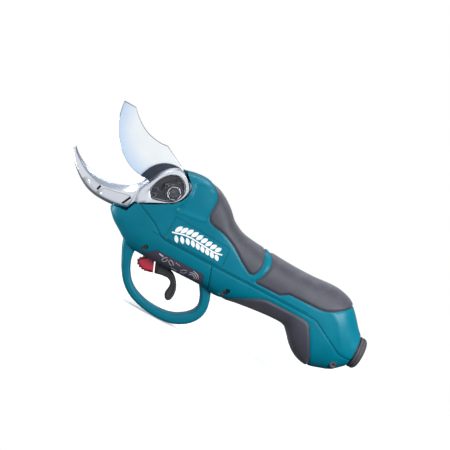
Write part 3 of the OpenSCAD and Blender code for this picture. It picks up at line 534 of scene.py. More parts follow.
def edge_wear():
    """Brighter metal or paler plastic along exposed edges."""
    def build(tree, start, end):
        convex = tree.nodes.new("ShaderNodeNewGeometry").outputs["Pointiness"]
        worn = ramp_node(tree, convex, 0.53, 0.60)
        place = tree.nodes.new("ShaderNodeTexCoord").outputs["Object"]
        broken = ramp_node(tree, noise_node(tree, place, 300.0, 3), 0.35, 0.65)
        tree.links.new(math_node(tree, "MULTIPLY", math_node(tree, "MULTIPLY", worn, broken),
                            start.outputs["Amount"]), end.inputs["Wear"])
    return node_group("edge_wear", {"Amount": 0.5}, ["Wear"], build)


def settled_dust():
    """Dust that lies on upward faces."""
    def build(tree, start, end):
        geometry = tree.nodes.new("ShaderNodeNewGeometry")
        split = tree.nodes.new("ShaderNodeSeparateXYZ")
        tree.links.new(geometry.outputs["Normal"], split.inputs["Vector"])
        up = ramp_node(tree, split.outputs["Z"], 0.2, 1.0)
        place = tree.nodes.new("ShaderNodeTexCoord").outputs["Object"]
        patch = ramp_node(tree, noise_node(tree, place, 120.0, 5, 0.65), 0.4, 0.75)
        tree.links.new(math_node(tree, "MULTIPLY", math_node(tree, "MULTIPLY", up, patch),
                            start.outputs["Amount"]), end.inputs["Dust"])
    return node_group("settled_dust", {"Amount": 0.1}, ["Dust"], build)


def place_group(tree, group, **values):
    node = tree.nodes.new("ShaderNodeGroup")
    node.node_tree = group
    for label, value in values.items():
        node.inputs[label].default_value = value
    return node


def mix_colour(tree, fac, first, second):
    node = tree.nodes.new("ShaderNodeMix")
    node.data_type = "RGBA"
    if isinstance(fac, (int, float)):
        node.inputs[0].default_value = fac
    else:
        tree.links.new(fac, node.inputs[0])
    for socket, value in ((node.inputs[6], first), (node.inputs[7], second)):
        if isinstance(value, (tuple, list)):
            socket.default_value = (*value[:3], 1)
        else:
            tree.links.new(value, socket)
    return node.outputs[2]


def finish_material(name, colour, second, roughness, metallic=0.0, grain=2600.0, pebble=0.3, bump=0.15,
                    bump_depth=0.00004, smudge=0.15, scuffs=0.25, scuff_colour=(0.6, 0.62, 0.64), wear=0.2,
                    wear_colour=(0.8, 0.8, 0.82), dust=0.08, lines=0.0, coat=0.0, sheen=0.0, subsurface=0.0,
                    specular=0.5):
    """A procedural finish: two close colours, grain, gloss changes, scuffs, edge wear and a little dust."""
    if name in bpy.data.materials:
        return bpy.data.materials[name]
    material = bpy.data.materials.new(name)
    material.use_nodes = True
    tree = material.node_tree
    shader = tree.nodes["Principled BSDF"]
    place = tree.nodes.new("ShaderNodeTexCoord").outputs["Object"]
    cloud = noise_node(tree, place, 55.0, 4, 0.55)
    marks = place_group(tree, handling_marks(), Roughness=roughness, Smudge=smudge, Scuffs=scuffs)
    worn = place_group(tree, edge_wear(), Amount=wear)
    dusty = place_group(tree, settled_dust(), Amount=dust)
    grained = place_group(tree, moulded_grain(), Scale=grain, Pebble=pebble)
    base = mix_colour(tree, ramp_node(tree, cloud, 0.3, 0.7), colour, second)
    base = mix_colour(tree, marks.outputs["Scuff"], base, scuff_colour)
    base = mix_colour(tree, worn.outputs["Wear"], base, wear_colour)
    base = mix_colour(tree, dusty.outputs["Dust"], base, (0.62, 0.58, 0.5))
    tree.links.new(base, shader.inputs["Base Color"])
    height, gloss = grained.outputs["Height"], marks.outputs["Roughness"]
    if lines:
        brushed = place_group(tree, brushed_lines())
        height = math_node(tree, "ADD", height,
                           math_node(tree, "MULTIPLY", brushed.outputs["Lines"], lines))
        gloss = math_node(tree, "ADD", gloss, math_node(
            tree, "MULTIPLY",
            math_node(tree, "SUBTRACT", brushed.outputs["Lines"], 0.5), 0.12 * lines), clamp=True)
    tree.links.new(gloss, shader.inputs["Roughness"])
    bumps = tree.nodes.new("ShaderNodeBump")
    bumps.inputs["Strength"].default_value = bump
    bumps.inputs["Distance"].default_value = bump_depth
    tree.links.new(height, bumps.inputs["Height"])
    tree.links.new(bumps.outputs["Normal"], shader.inputs["Normal"])
    shader.inputs["Metallic"].default_value = metallic
    shader.inputs["Coat Weight"].default_value = coat
    shader.inputs["Coat Roughness"].default_value = 0.2
    shader.inputs["Sheen Weight"].default_value = sheen
    shader.inputs["Sheen Roughness"].default_value = 0.5
    shader.inputs["Subsurface Weight"].default_value = subsurface
    shader.inputs["Subsurface Scale"].default_value = 0.002
    shader.inputs["Specular IOR Level"].default_value = specular
    return material


def shade(colour, factor):
    return tuple(min(1.0, c * factor) for c in colour[:3])


def teal_plastic():
    c = bpy.context.scene.pruner_colours.shell
    return finish_material("teal_plastic", shade(c, 0.94), shade(c, 1.07), 0.36, grain=2300, bump=0.2,
                           smudge=0.1, scuffs=0.12, scuff_colour=(0.25, 0.5, 0.56), wear=0.25,
                           wear_colour=(0.12, 0.42, 0.5), dust=0.02, specular=0.16)


def soft_rubber():
    c = bpy.context.scene.pruner_colours.grip
    return finish_material("soft_rubber", shade(c, 0.9), shade(c, 1.12), 0.56, grain=1500, pebble=0.9,
                           bump=0.45, bump_depth=0.00009, smudge=0.16, scuffs=0.1,
                           scuff_colour=(0.2, 0.19, 0.23), wear=0.2, wear_colour=(0.22, 0.2, 0.24), dust=0.06,
                           sheen=0.25)


def label_film():
    c = bpy.context.scene.pruner_colours.label
    return finish_material("label_film", shade(c, 0.95), shade(c, 1.08), 0.42, grain=3200, bump=0.08,
                           smudge=0.12, scuffs=0.2, scuff_colour=(0.3, 0.28, 0.32), wear=0.15,
                           wear_colour=(0.3, 0.28, 0.3), dust=0.04)


def white_print():
    return finish_material("white_print", (0.86, 0.88, 0.9), (0.94, 0.95, 0.96), 0.45, grain=3200, bump=0.05,
                           scuffs=0.25, scuff_colour=(0.5, 0.56, 0.6), wear=0.0, dust=0.02)


def grey_print():
    return finish_material("grey_print", (0.55, 0.55, 0.6), (0.68, 0.68, 0.72), 0.5, grain=3200, bump=0.05,
                           scuffs=0.3, scuff_colour=(0.2, 0.2, 0.24), wear=0.0, dust=0.02)


def hook_metal():
    c = bpy.context.scene.pruner_colours.hook
    return finish_material("hook_metal", shade(c, 0.97), shade(c, 1.03), 0.25, metallic=1.0, grain=1700,
                           pebble=0.2, bump=0.05, smudge=0.1, scuffs=0.12, scuff_colour=(0.6, 0.62, 0.66),
                           wear=0.3, wear_colour=(0.95, 0.96, 0.98), dust=0.0, lines=0.5)


def blade_metal():
    """Mirror-ground steel with painted reflection and shade: the colour is whiter on the flat and bluer
    towards the cutting edge as a painted reflection, with a painted dark shade line along the outline.
    """
    name = "blade_metal"
    if name in bpy.data.materials:
        return bpy.data.materials[name]
    c = bpy.context.scene.pruner_colours.blade
    material = finish_material(name, shade(c, 0.98), shade(c, 1.02), 0.24, metallic=0.75, grain=1500,
                               pebble=0.1, bump=0.05, smudge=0.1, scuffs=0.12, scuff_colour=(0.62, 0.66, 0.7),
                               wear=0.1, wear_colour=(1, 1, 1), dust=0.0, lines=0.5)
    tree = material.node_tree
    shader = tree.nodes["Principled BSDF"]
    base = shader.inputs["Base Color"].links[0].from_socket
    # Painted reflection: pale blue at the cutting edge running to white on the flat, following the 'across'
    # share
    edge = tree.nodes.new("ShaderNodeAttribute")
    edge.attribute_name = "across"
    painted_light_tint = mix_colour(tree, edge.outputs["Fac"], (0.62, 0.78, 0.97), (0.97, 0.985, 1.0))
    # Painted shade: a dark line along the blade's outline, following the 'rim' mark
    rim = tree.nodes.new("ShaderNodeAttribute")
    rim.attribute_name = "rim"
    painted_light_tint = mix_colour(tree, rim.outputs["Fac"], painted_light_tint, (0.16, 0.16, 0.18))
    blend = tree.nodes.new("ShaderNodeMix")
    blend.data_type = "RGBA"
    blend.blend_type = "MULTIPLY"
    blend.inputs[0].default_value = 1.0
    tree.links.new(base, blend.inputs[6])
    tree.links.new(painted_light_tint, blend.inputs[7])
    tree.links.new(blend.outputs[2], shader.inputs["Base Color"])
    return material


def dark_metal():
    return finish_material("dark_metal", (0.035, 0.034, 0.045), (0.06, 0.058, 0.07), 0.38, metallic=0.5,
                           grain=1900, bump=0.2, smudge=0.2, scuffs=0.35, scuff_colour=(0.3, 0.3, 0.33),
                           wear=0.5, wear_colour=(0.4, 0.4, 0.44), dust=0.03)


def blued_metal():
    return finish_material("blued_metal", (0.022, 0.028, 0.048), (0.04, 0.048, 0.072), 0.3, metallic=0.6,
                           grain=1900, bump=0.1, smudge=0.15, scuffs=0.25, scuff_colour=(0.25, 0.27, 0.32),
                           wear=0.4, wear_colour=(0.4, 0.43, 0.5), dust=0.02)


def bright_metal():
    return finish_material("bright_metal", (0.74, 0.76, 0.8), (0.82, 0.84, 0.88), 0.22, metallic=1.0,
                           grain=2000, bump=0.1, scuffs=0.3, wear=0.3, wear_colour=(0.95, 0.95, 0.97),
                           dust=0.02, lines=0.4)


def cast_metal():
    return finish_material("cast_metal", (0.42, 0.43, 0.45), (0.52, 0.53, 0.55), 0.5, metallic=1.0, grain=900,
                           pebble=0.8, bump=0.4, bump_depth=0.0001, wear=0.4, dust=0.03)


def bronze_metal():
    return finish_material("bronze_metal", (0.6, 0.4, 0.16), (0.72, 0.5, 0.24), 0.34, metallic=1.0,
                           grain=1500, bump=0.2, wear=0.3, wear_colour=(0.9, 0.75, 0.45), dust=0.02)


def copper_wire():
    return finish_material("copper_wire", (0.6, 0.24, 0.1), (0.72, 0.32, 0.15), 0.3, metallic=0.9, grain=1200,
                           bump=0.4, wear=0.2, wear_colour=(0.9, 0.55, 0.35), dust=0.02)


def board_resin():
    return finish_material("board_resin", (0.01, 0.11, 0.05), (0.015, 0.16, 0.07), 0.32, grain=1800,
                           bump=0.15, wear=0.0, dust=0.03, coat=0.3)


def black_plastic():
    return finish_material("black_plastic", (0.014, 0.014, 0.017), (0.024, 0.023, 0.028), 0.36, grain=2200,
                           bump=0.2, smudge=0.2, scuffs=0.25, scuff_colour=(0.12, 0.12, 0.14), wear=0.35,
                           wear_colour=(0.16, 0.16, 0.18), dust=0.04, coat=0.1)


def collar_plastic():
    return finish_material("collar_plastic", (0.035, 0.028, 0.042), (0.055, 0.045, 0.062), 0.4, grain=2000,
                           bump=0.25, scuffs=0.25, scuff_colour=(0.2, 0.19, 0.24), wear=0.4,
                           wear_colour=(0.24, 0.2, 0.28), dust=0.04)


def red_plastic():
    c = bpy.context.scene.pruner_colours.lock
    return finish_material("red_plastic", shade(c, 0.85), shade(c, 1.15), 0.3, grain=1400, bump=0.2,
                           smudge=0.15, scuffs=0.15, scuff_colour=(0.7, 0.3, 0.34), wear=0.4,
                           wear_colour=(0.75, 0.3, 0.36), dust=0.03, coat=0.4, subsurface=0.25)


def lead_cover(colour):
    name = "lead_cover_red" if colour[0] > 0.2 else "lead_cover_black"
    return finish_material(name, shade(colour, 0.9), shade(colour, 1.1), 0.45, grain=1500, bump=0.2, wear=0.0)


# Near-black: a painted shadow in the hook's slot pits, and the plain black of the socket seal
def shadow_gap():
    return finish_material("shadow_gap", (0.004, 0.004, 0.005), (0.008, 0.008, 0.01), 0.6, grain=2000,
                           bump=0.1, scuffs=0.0, wear=0.0, dust=0.0)


# ---------------------------------------------------------------- settings

class PrunerSizes(bpy.types.PropertyGroup):
    """Sizes that a user would change."""
    seam_gap: bpy.props.FloatProperty(name="Seam gap", description="Width of the lines where shells part",
                                      default=0.0006, min=0.0001, max=0.002, unit="LENGTH")
    edge_softness: bpy.props.FloatProperty(name="Edge softness",
                                           description="How wide the shells round off at a seam",
                                           default=0.0011, min=0.0003, max=0.004, unit="LENGTH")
    grip_proud: bpy.props.FloatProperty(name="Grip height", description="How far the soft grips stand proud",
                                        default=0.0006, min=0.0, max=0.002, unit="LENGTH")
    wall: bpy.props.FloatProperty(name="Wall", description="Wall thickness of the shells", default=0.003,
                                  min=0.001, max=0.005, unit="LENGTH")
    guard_width: bpy.props.FloatProperty(name="Guard width", description="Width of the trigger guard",
                                         default=0.018, min=0.01, max=0.026, unit="LENGTH")
    lever_width: bpy.props.FloatProperty(name="Lever width",
                                         description="Width of the trigger and lock-off lever", default=0.011,
                                         min=0.006, max=0.013, unit="LENGTH")


def colour_property(name, description, default):
    return bpy.props.FloatVectorProperty(name=name, description=description, default=default, size=3, min=0,
                                         max=1, subtype="COLOR")


class PrunerColours(bpy.types.PropertyGroup):
    """Colours that a user would change."""
    shell: colour_property("Shells", "Colour of the moulded shells", (0.0005, 0.158, 0.225))
    grip: colour_property("Grips", "Colour of the soft grips", (0.036, 0.036, 0.052))
    label: colour_property("Labels", "Colour of the label film", (0.07, 0.055, 0.078))
    hook: colour_property("Hook", "Colour of the hook's steel", (0.74, 0.77, 0.84))
    blade: colour_property("Blade", "Colour of the blade's steel", (0.95, 0.97, 1.0))
    lock: colour_property("Lock-off", "Colour of the lock-off lever", (0.42, 0.01, 0.03))


# ---------------------------------------------------------------- the moulded body

def groove_cutter(name, sizes):
    """Thin walls along every parting line, kept to the outer millimetre of the shells."""
    gap = sizes.seam_gap / MM
    lines = [resample(SEAM, 60), resample(POST_SPLIT, 12)]
    cutter = prism(name, [thick_line(lines[0], gap)], -FAR, FAR)
    post = prism("post_line", [thick_line(lines[1], gap)], -FAR, FAR)
    middle = prism("middle_line", [[(-60, -120), (240, -120), (240, 60), (-60, 60)]], -gap / 2, gap / 2)
    twin = prism("twin_line",
                 [thick_line(resample([(-2, -36.4), (9, -36.9), (57, -37), (150, -37.1)], 40), gap * 0.7)],
                 -FAR, FAR)
    core = loft("core", body_rings(-1.2, NOSE_X + 1.5, TAIL_X + 5, 90, 72))
    guard_side = prism("guard_side", [GUARD_AREA], -70, 70)
    cut(middle, guard_side)
    carve(cutter, ("UNION", post), ("UNION", middle), ("UNION", twin), ("DIFFERENCE", core))
    drop(post, middle, twin, core, guard_side)
    return cutter


def pocket_outlines():
    """Slanted access slots of the shell screws: a slot with round ends that leans with the handle."""
    outlines = {-1: [], 1: []}
    lean = math.radians(58)
    for x, z, side in SCREW_SPOTS:
        along_slot = np.array([math.cos(lean), math.sin(lean)])
        start = np.array([x, z]) - along_slot * (5.6 if x > 20 else 1.6)
        end = np.array([x, z]) + along_slot * (3.6 if x > 20 else 1.6)
        across = np.array([-along_slot[1], along_slot[0]])
        half = 2.1
        outlines[side].append(np.array([
            centre + half * (math.cos(a) * across + math.sin(a) * along_slot)
            for centre, first in ((end, 0), (start, math.pi))
            for a in np.linspace(first, first + math.pi, 12)]))
    return outlines


class PRUNER_OT_shells(bpy.types.Operator):
    """Build the teal shells with their seams, beds and screw pockets"""
    bl_idname = "pruner.shells"
    bl_label = "Shells and Guard"

    def execute(self, context):
        sizes = context.scene.pruner_sizes
        wall = sizes.wall / MM
        outer = loft("outer", body_rings(0, NOSE_X, TAIL_X, 460, 280, edge_round=1.6), shell_relief)
        inner = loft("inner", body_rings(-wall, NOSE_X + wall + 1, TAIL_X - wall, 80, 72))
        bosses = prism("bosses", [circle(5.0, x, z, 32) for x, z, _ in SCREW_SPOTS], -FAR, FAR)
        pocket_walls = prism("pocket_walls", [grown(HOOK_POCKET, 2.2)], -FAR, HOOK_BACK - 0.2)
        cut(inner, bosses, pocket_walls)
        grooves = groove_cutter("grooves", sizes)
        bed_floor = loft("bed_floor", body_rings(-1.7, NOSE_X + 2, TAIL_X + 6, 90, 72))
        beds = prism("beds", [grown(FRONT_GRIP, 0.25)], -FAR, FAR)
        others = [prism("bed", [grown(outline, 0.25)], -FAR, FAR) for outline in (REAR_GRIP, LOWER_GRIP)]
        panel_floor = loft("panel_floor", body_rings(-1.0, NOSE_X + 2, TAIL_X + 6, 90, 72))
        panels = prism("panels", [grown(NAME_PANEL, 0.3), grown(LABEL, 0.3)], -FAR, FAR)
        middle = prism("middle", [[(-10, -100), (90, -100), (90, 20), (-10, 20)]], -6, 6)
        carve(beds, ("UNION", others[0]), ("UNION", others[1]), ("DIFFERENCE", bed_floor))
        cut(panels, panel_floor, middle)
        pocket = prism("steel_pocket", [HOOK_POCKET], -FAR, BLADE_BACK + 0.4)
        socket = prism("socket_hole", [circle(12.1, 0, 0, 48)], 0, FAR)
        socket.data.transform(Matrix.Translation((TAIL_X - 30, 0, -50)) @ ALONG_X)
        slots = pocket_outlines()
        left_slots = prism("left_slots", slots[-1], -FAR, -POCKET_FLOOR)
        right_slots = prism("right_slots", slots[1], POCKET_FLOOR, FAR)
        bores = prism("bores", [circle(3.2, x, z, 32) for x, z, side in SCREW_SPOTS if side < 0], -BORE_TOP,
                      -SCREW_SEAT)
        right_bores = prism("bores", [circle(3.2, x, z, 32) for x, z, side in SCREW_SPOTS if side > 0],
                            SCREW_SEAT, BORE_TOP)
        shanks = prism("shanks", [circle(1.62, x, z, 20) for x, z, _ in SCREW_SPOTS], -12.1, 12.1)
        carve(bores, ("UNION", right_bores), ("UNION", shanks))
        steps = [("DIFFERENCE", cutter) for cutter in (
            inner, beds, panels, pocket, socket, left_slots, right_slots, bores, grooves)]
        teal = teal_plastic()
        for name, area, y0, y1, node in (
                ("shell_upper_left", UPPER_AREA, -FAR, 0, "housing_left"),
                ("shell_upper_right", UPPER_AREA, 0, FAR, "housing_right"),
                ("shell_lower_left", LOWER_AREA, -FAR, 0, "lower_shell_left"),
                ("shell_lower_right", LOWER_AREA, 0, FAR, "lower_shell_right")):
            part = copy_of(outer, name)
            region = prism("region", [area], y0, y1)
            carve(part, ("INTERSECT", region), *steps)
            drop(region)
            finish_piece(part, name, teal, "handle", "teal_shell", node)
        frame_part = copy_of(outer, "guard")
        region = prism("region", [GUARD_AREA], -FAR, FAR)
        carve(frame_part, ("INTERSECT", region), *steps)
        bow = guard_bow(sizes)
        core = loft("core", body_rings(-wall + 0.5, NOSE_X + wall + 1, TAIL_X - wall, 80, 72))
        label_clear = prism("label_clear", [grown(LABEL, 0.3)], -FAR, FAR)
        lever_slot = prism("lever_slot", [[(-3.6, -64), (45.6, -64), (45.6, -56), (-3.6, -56)]], -6.2, 6.2)
        cut(bow, core, label_clear)
        carve(frame_part, ("UNION", bow), ("DIFFERENCE", lever_slot))
        drop(region, bow, core, label_clear, lever_slot)
        finish_piece(frame_part, "guard", teal, "handle", "teal_shell", "guard_frame", "trigger_guard")
        drop(outer, inner, bosses, pocket_walls, grooves, bed_floor, beds, *others, panel_floor, panels,
             middle, pocket, socket, left_slots, right_slots, bores, right_bores, shanks)
        return {"FINISHED"}


def guard_bow(sizes):
    """The trigger guard: a rounded bar swept along its centre line; each knot is (x, z, half thickness)."""
    line = spline([(-13, -50, 8.4), (-12.8, -55, 7.2), (-12, -61, 6), (-9.8, -68.6, 4.6), (-6, -77.2, 4),
                   (-0.4, -85.7, 3.7), (5.8, -91.4, 3.6), (13, -95.3, 3.6), (24, -98.5, 3.6), (38, -99.7, 4),
                   (50.2, -97.9, 4.4), (60.4, -92.6, 4.7), (66.8, -85.6, 4.5), (69, -78, 4.3),
                   (67.4, -70, 4.5), (64.4, -63.2, 5), (60.6, -56, 6)],
                  8)
    half_w = sizes.guard_width / MM / 2
    d = np.gradient(line[:, :2], axis=0)
    normal = np.column_stack([-d[:, 1], d[:, 0]]) / np.linalg.norm(d, axis=1)[:, None]
    a = (np.arange(56) + 0.5) * 2 * math.pi / 56
    power = 4.2
    c, s = np.cos(a), np.sin(a)
    reach = (np.abs(c) ** power + np.abs(s) ** power) ** (-1 / power)
    rings = []
    for (x, z, half_t), n in zip(line, normal):
        h = half_t * reach * s
        rings.append(np.column_stack([x + h * n[0], half_w * reach * c, z + h * n[1]]))
    return loft("bow", rings)


class PRUNER_OT_grips(bpy.types.Operator):
    """Build the three soft grips with rounded edges"""
    bl_idname = "pruner.grips"
    bl_label = "Soft Grips"

    def execute(self, context):
        rubber = soft_rubber()
        inner = loft("inner", body_rings(-1.6, NOSE_X + 2, TAIL_X + 4, 90, 72))
        for name, outline, node in (("grip_front", FRONT_GRIP, "front_grip"),
                                    ("grip_rear", REAR_GRIP, "rear_grip"),
                                    ("grip_lower", LOWER_GRIP, "lower_grip")):
            low, high = outline[:, 0].min() - 4, outline[:, 0].max() + 4
            pad = loft(name, body_rings(0, low, high, 190, 260), grip_relief(outline))
            region = prism("region", [outline], -FAR, FAR)
            carve(pad, ("INTERSECT", region), ("DIFFERENCE", inner))
            drop(region)
            if node == "lower_grip":
                area = prism("area", [grown(LOWER_AREA, -0.4)], -FAR, FAR)
                carve(pad, ("INTERSECT", area))
                drop(area)
            finish_piece(pad, name, rubber, "handle", "soft_grip", node)
        drop(inner)
        return {"FINISHED"}


def leaf(x, z, angle, length, width, count=9):
    """A pointed leaf outline that starts at (x, z) and leans at an angle in degrees."""
    t = np.linspace(0, 1, count)
    half = width / 2 * np.sin(math.pi * t) ** 0.8
    shape = np.vstack([np.column_stack([t * length, half]), np.column_stack([t * length, -half])[::-1][1:-1]])
    a = math.radians(angle)
    turn = np.array([[math.cos(a), math.sin(a)], [-math.sin(a), math.cos(a)]])
    return shape @ turn + (x, z)


def sprig_outlines():
    """A vine sprig: a stem with slanting leaves on both sides."""
    stem = spline([(13.4, -29.4), (26, -26.2), (40, -26.8), (53, -27.8), (60.6, -26.6)], 6)
    out = [thick_line(stem, 1.3)]
    for k in range(9):
        x = 15.2 + 4.75 * k
        z = float(np.interp(x, stem[:, 0], stem[:, 1]))
        out.append(leaf(x, z + 1.05, 58 - 1.2 * k, 8.2 - 0.2 * k, 3.9))
        out.append(leaf(x + 2.1, z - 1.05, -52 + 1.2 * k, 7.2 - 0.15 * k, 3.5))
    return out


def leaf_line(x, z, angle, length, width, line):
    """The two sides of a leaf as thin separate lines."""
    shape = leaf(x, z, angle, length, width, 13)
    return [thick_line(shape[1:12], line), thick_line(shape[14:], line)]


def arc_line(x, z, radius, first, last, line):
    turn = np.linspace(first, last, 14)
    return thick_line(np.column_stack([x + radius * np.cos(turn), z + radius * np.sin(turn)]), line)


def label_outlines():
    """Plain signs on the label: a dash, line-drawn leaves, a row of dots and a double arc."""
    out = [thick_line(np.array([(12.6, -51.0), (16.8, -51.8)]), 1.1),
           thick_line(np.array([(27.6, -57.6), (33, -57.8)]), 0.6)]
    for place in ((17.6, -56.4, 58, 6.6, 3.2), (22.6, -51.6, -34, 7.0, 3.0), (35.4, -57.4, 34, 7.4, 3.0)):
        out += leaf_line(*place, 0.5)
    out += [arc_line(46.4, -57.4, radius, first, last, 0.55) for radius, first, last in (
        (3.2, 0.1, 2.6), (4.9, 0.2, 2.2), (6.6, 0.3, 1.7))]
    out += [circle(0.45, 29.4 + 1.8 * k, -51.6 - 0.3 * k, 12) for k in range(3)]
    return out


class PRUNER_OT_panels(bpy.types.Operator):
    """Build the name panels and trigger labels with plain generic signs"""
    bl_idname = "pruner.panels"
    bl_label = "Panels and Labels"

    def execute(self, context):
        bed = loft("bed", body_rings(-0.95, NOSE_X + 2, TAIL_X, 110, 120))
        panel_skin, label_skin, print_skin, label_print_skin = [
            loft("skin", body_rings(grow, NOSE_X + 1, TAIL_X, 170, 150)) for grow in (-0.1, 0.15, 0.02, 0.24)]
        for side, word in ((-1, "left"), (1, "right")):
            y0, y1 = (-FAR, -6.3) if side < 0 else (6.3, FAR)
            for name, outline, skin, material, slot, node in (
                    ("name_panel", NAME_PANEL, panel_skin, teal_plastic(), "teal_shell", "name_panel_"),
                    ("trigger_label", LABEL, label_skin, label_film(), "label", "trigger_label_")):
                plate = prism(name, [outline], y0, y1)
                carve(plate, ("INTERSECT", skin), ("DIFFERENCE", bed))
                finish_piece(plate, f"{name}_plate_{word}", material, "handle", slot, node + word)
            for name, outlines, skin, material, slot in (
                    ("sprig", sprig_outlines(), print_skin, white_print(), "teal_shell"),
                    ("label_signs", label_outlines(), label_print_skin, grey_print(), "label")):
                signs = prism(name, outlines, y0, y1)
                carve(signs, ("INTERSECT", skin),
                      ("DIFFERENCE", panel_skin if name == "sprig" else label_skin))
                finish_piece(signs, f"{name}_{word}", material, "handle", slot)
        drop(bed, panel_skin, label_skin, print_skin, label_print_skin)
        return {"FINISHED"}


# ---------------------------------------------------------------- the steel head

RING_EDGE = [(-26, -23.2), (-17, -18.4), (-9, -14), (2, -7.6), (7.4, -2.4), (10, 4), (10.3, 9.8), (6, 15.4),
             (0, 19.6), (-6, 20.6), (-13, 17.4), (-18.4, 11.6), (-22, 4), (-24.6, -2), (-28, -12)]
RING_RECESS = [(-19.6, -5.4), (-18.6, -9.6), (-15.2, -12.4), (-9, -11.2), (0, -8.4), (5.4, -3.2), (7.8, 3),
               (6.4, 9), (2.4, 13.2), (-3, 15), (-9.4, 13.2), (-14.6, 8.4), (-18, 2)]
SHROUD_OUT = [(-32.4, -0.6), (-30.4, 5), (-27, 11.4), (-22, 16.6), (-16, 19.8), (-9, 21.2), (-4, 20.8)]
RING_CENTRE = np.array([-6.0, 2.0])


def by_angle(outline, count):
    """The points where rays at even angles from the ring's centre meet an outline."""
    p = np.array(outline, float) - RING_CENTRE
    angle, reach = np.unwrap(np.arctan2(p[:, 1], p[:, 0])), np.hypot(p[:, 0], p[:, 1])
    if angle[-1] < angle[0]:
        angle, reach = angle[::-1], reach[::-1]
    at = np.arange(count) * 2 * math.pi / count
    wrapped = np.interp((at - angle[0]) % (2 * math.pi) + angle[0], np.append(angle, angle[0] + 2 * math.pi),
                        np.append(reach, reach[0]))
    return RING_CENTRE + wrapped[:, None] * np.column_stack([np.cos(at), np.sin(at)])


def at_level(points, y):
    return np.column_stack([points[:, 0], np.full(len(points), y), points[:, 1]])


def ring_boss():
    """The ring round the pivot: a sloping outer wall, a flat rim and a recess."""
    count = 160
    edge = by_angle(closed_spline(RING_EDGE, 8), count)
    recess = by_angle(closed_spline(RING_RECESS, 8), count)
    angle = np.degrees(np.arange(count) * 2 * math.pi / count)
    wall_side = np.clip(1 - np.abs((angle - 150) / 62), 0, 1)[:, None]
    share = 0.16 + 0.34 * wall_side ** 0.7
    crest = edge + (recess - edge) * share
    levels = [(edge, HOOK_BACK), (edge, HOOK_FACE + 0.6), (edge + (crest - edge) * 0.12, HOOK_FACE - 0.4),
              (edge + (crest - edge) * 0.88, RING_FACE + 0.9), (crest, RING_FACE + 0.25),
              (crest + (recess - crest) * 0.12, RING_FACE), (crest + (recess - crest) * 0.86, RING_FACE),
              (recess, RING_FACE + 0.5), (recess + (RING_CENTRE - recess) * 0.015, RING_FACE + 1.2),
              (recess + (RING_CENTRE - recess) * 0.03, HOOK_FACE)]
    return loft("ring", [at_level(p, y) for p, y in levels])


HOOK_INNER = [[(-20, 1.6), (-25, -1), (-28, -4.1), (-30, -6.5)],
              [(-30, -6.5), (-32, -8.8), (-37, -12.8), (-45, -16), (-54, -18.2), (-63, -18.2), (-72, -16.6),
               (-80, -13.2), (-87, -9), (-90.6, -6), (-92.6, -4.0)]]
HOOK_OUTER = [[(-20, -20), (-26, -23.2), (-29.6, -31.9)],
              [(-29.6, -31.9), (-38, -33.6), (-48, -34.4), (-60, -33.7), (-70, -30.6), (-80, -24.2),
               (-88, -16.4), (-93, -9.6), (-94.2, -5.2)]]
HOOK_SECTION = [(0.0, 0.0), (0.0, 0.24), (0.03, 0.34), (0.27, 0.94), (0.31, 1.0), (0.84, 1.0), (0.9, 0.93),
                (0.985, 0.52), (1.0, 0.4), (1.0, 0.0)]


def hook_shank():
    """The curved hook: sections across it, from its cutting side out, as shares of width and thickness."""
    inner = np.vstack([resample(HOOK_INNER[0], 8)[:-1], resample(spline(HOOK_INNER[1], 8), 70)])
    outer = np.vstack([resample(HOOK_OUTER[0], 8)[:-1], resample(spline(HOOK_OUTER[1], 8), 70)])
    count = len(inner)
    rings = []
    for k, (a, b) in enumerate(zip(inner, outer)):
        t = k / (count - 1)
        thick = (HOOK_BACK - HOOK_FACE) * (1 - 0.42 * t ** 3)
        rings.append([(a[0] + (b[0] - a[0]) * s, HOOK_BACK - thick * h, a[1] + (b[1] - a[1]) * s)
                      for s, h in HOOK_SECTION])
    end = np.array(rings[-1])
    middle = end.mean(axis=0)
    for shrink, ahead in ((0.82, 0.45), (0.45, 0.85)):
        tip = middle + (end - middle) * shrink
        tip[:, 0] -= ahead * 0.55
        tip[:, 2] += ahead
        rings.append(tip)
    return loft("shank", rings)


def tapered_cut(outline, y_open, y_floor, draft):
    """A cutter with sloping walls: wider at its open side."""
    rings = [at_level(grown(outline, draft * 1.2), y_open - 1.0), at_level(grown(outline, draft), y_open),
             at_level(np.array(outline, float), y_floor)]
    return loft("cut", rings)


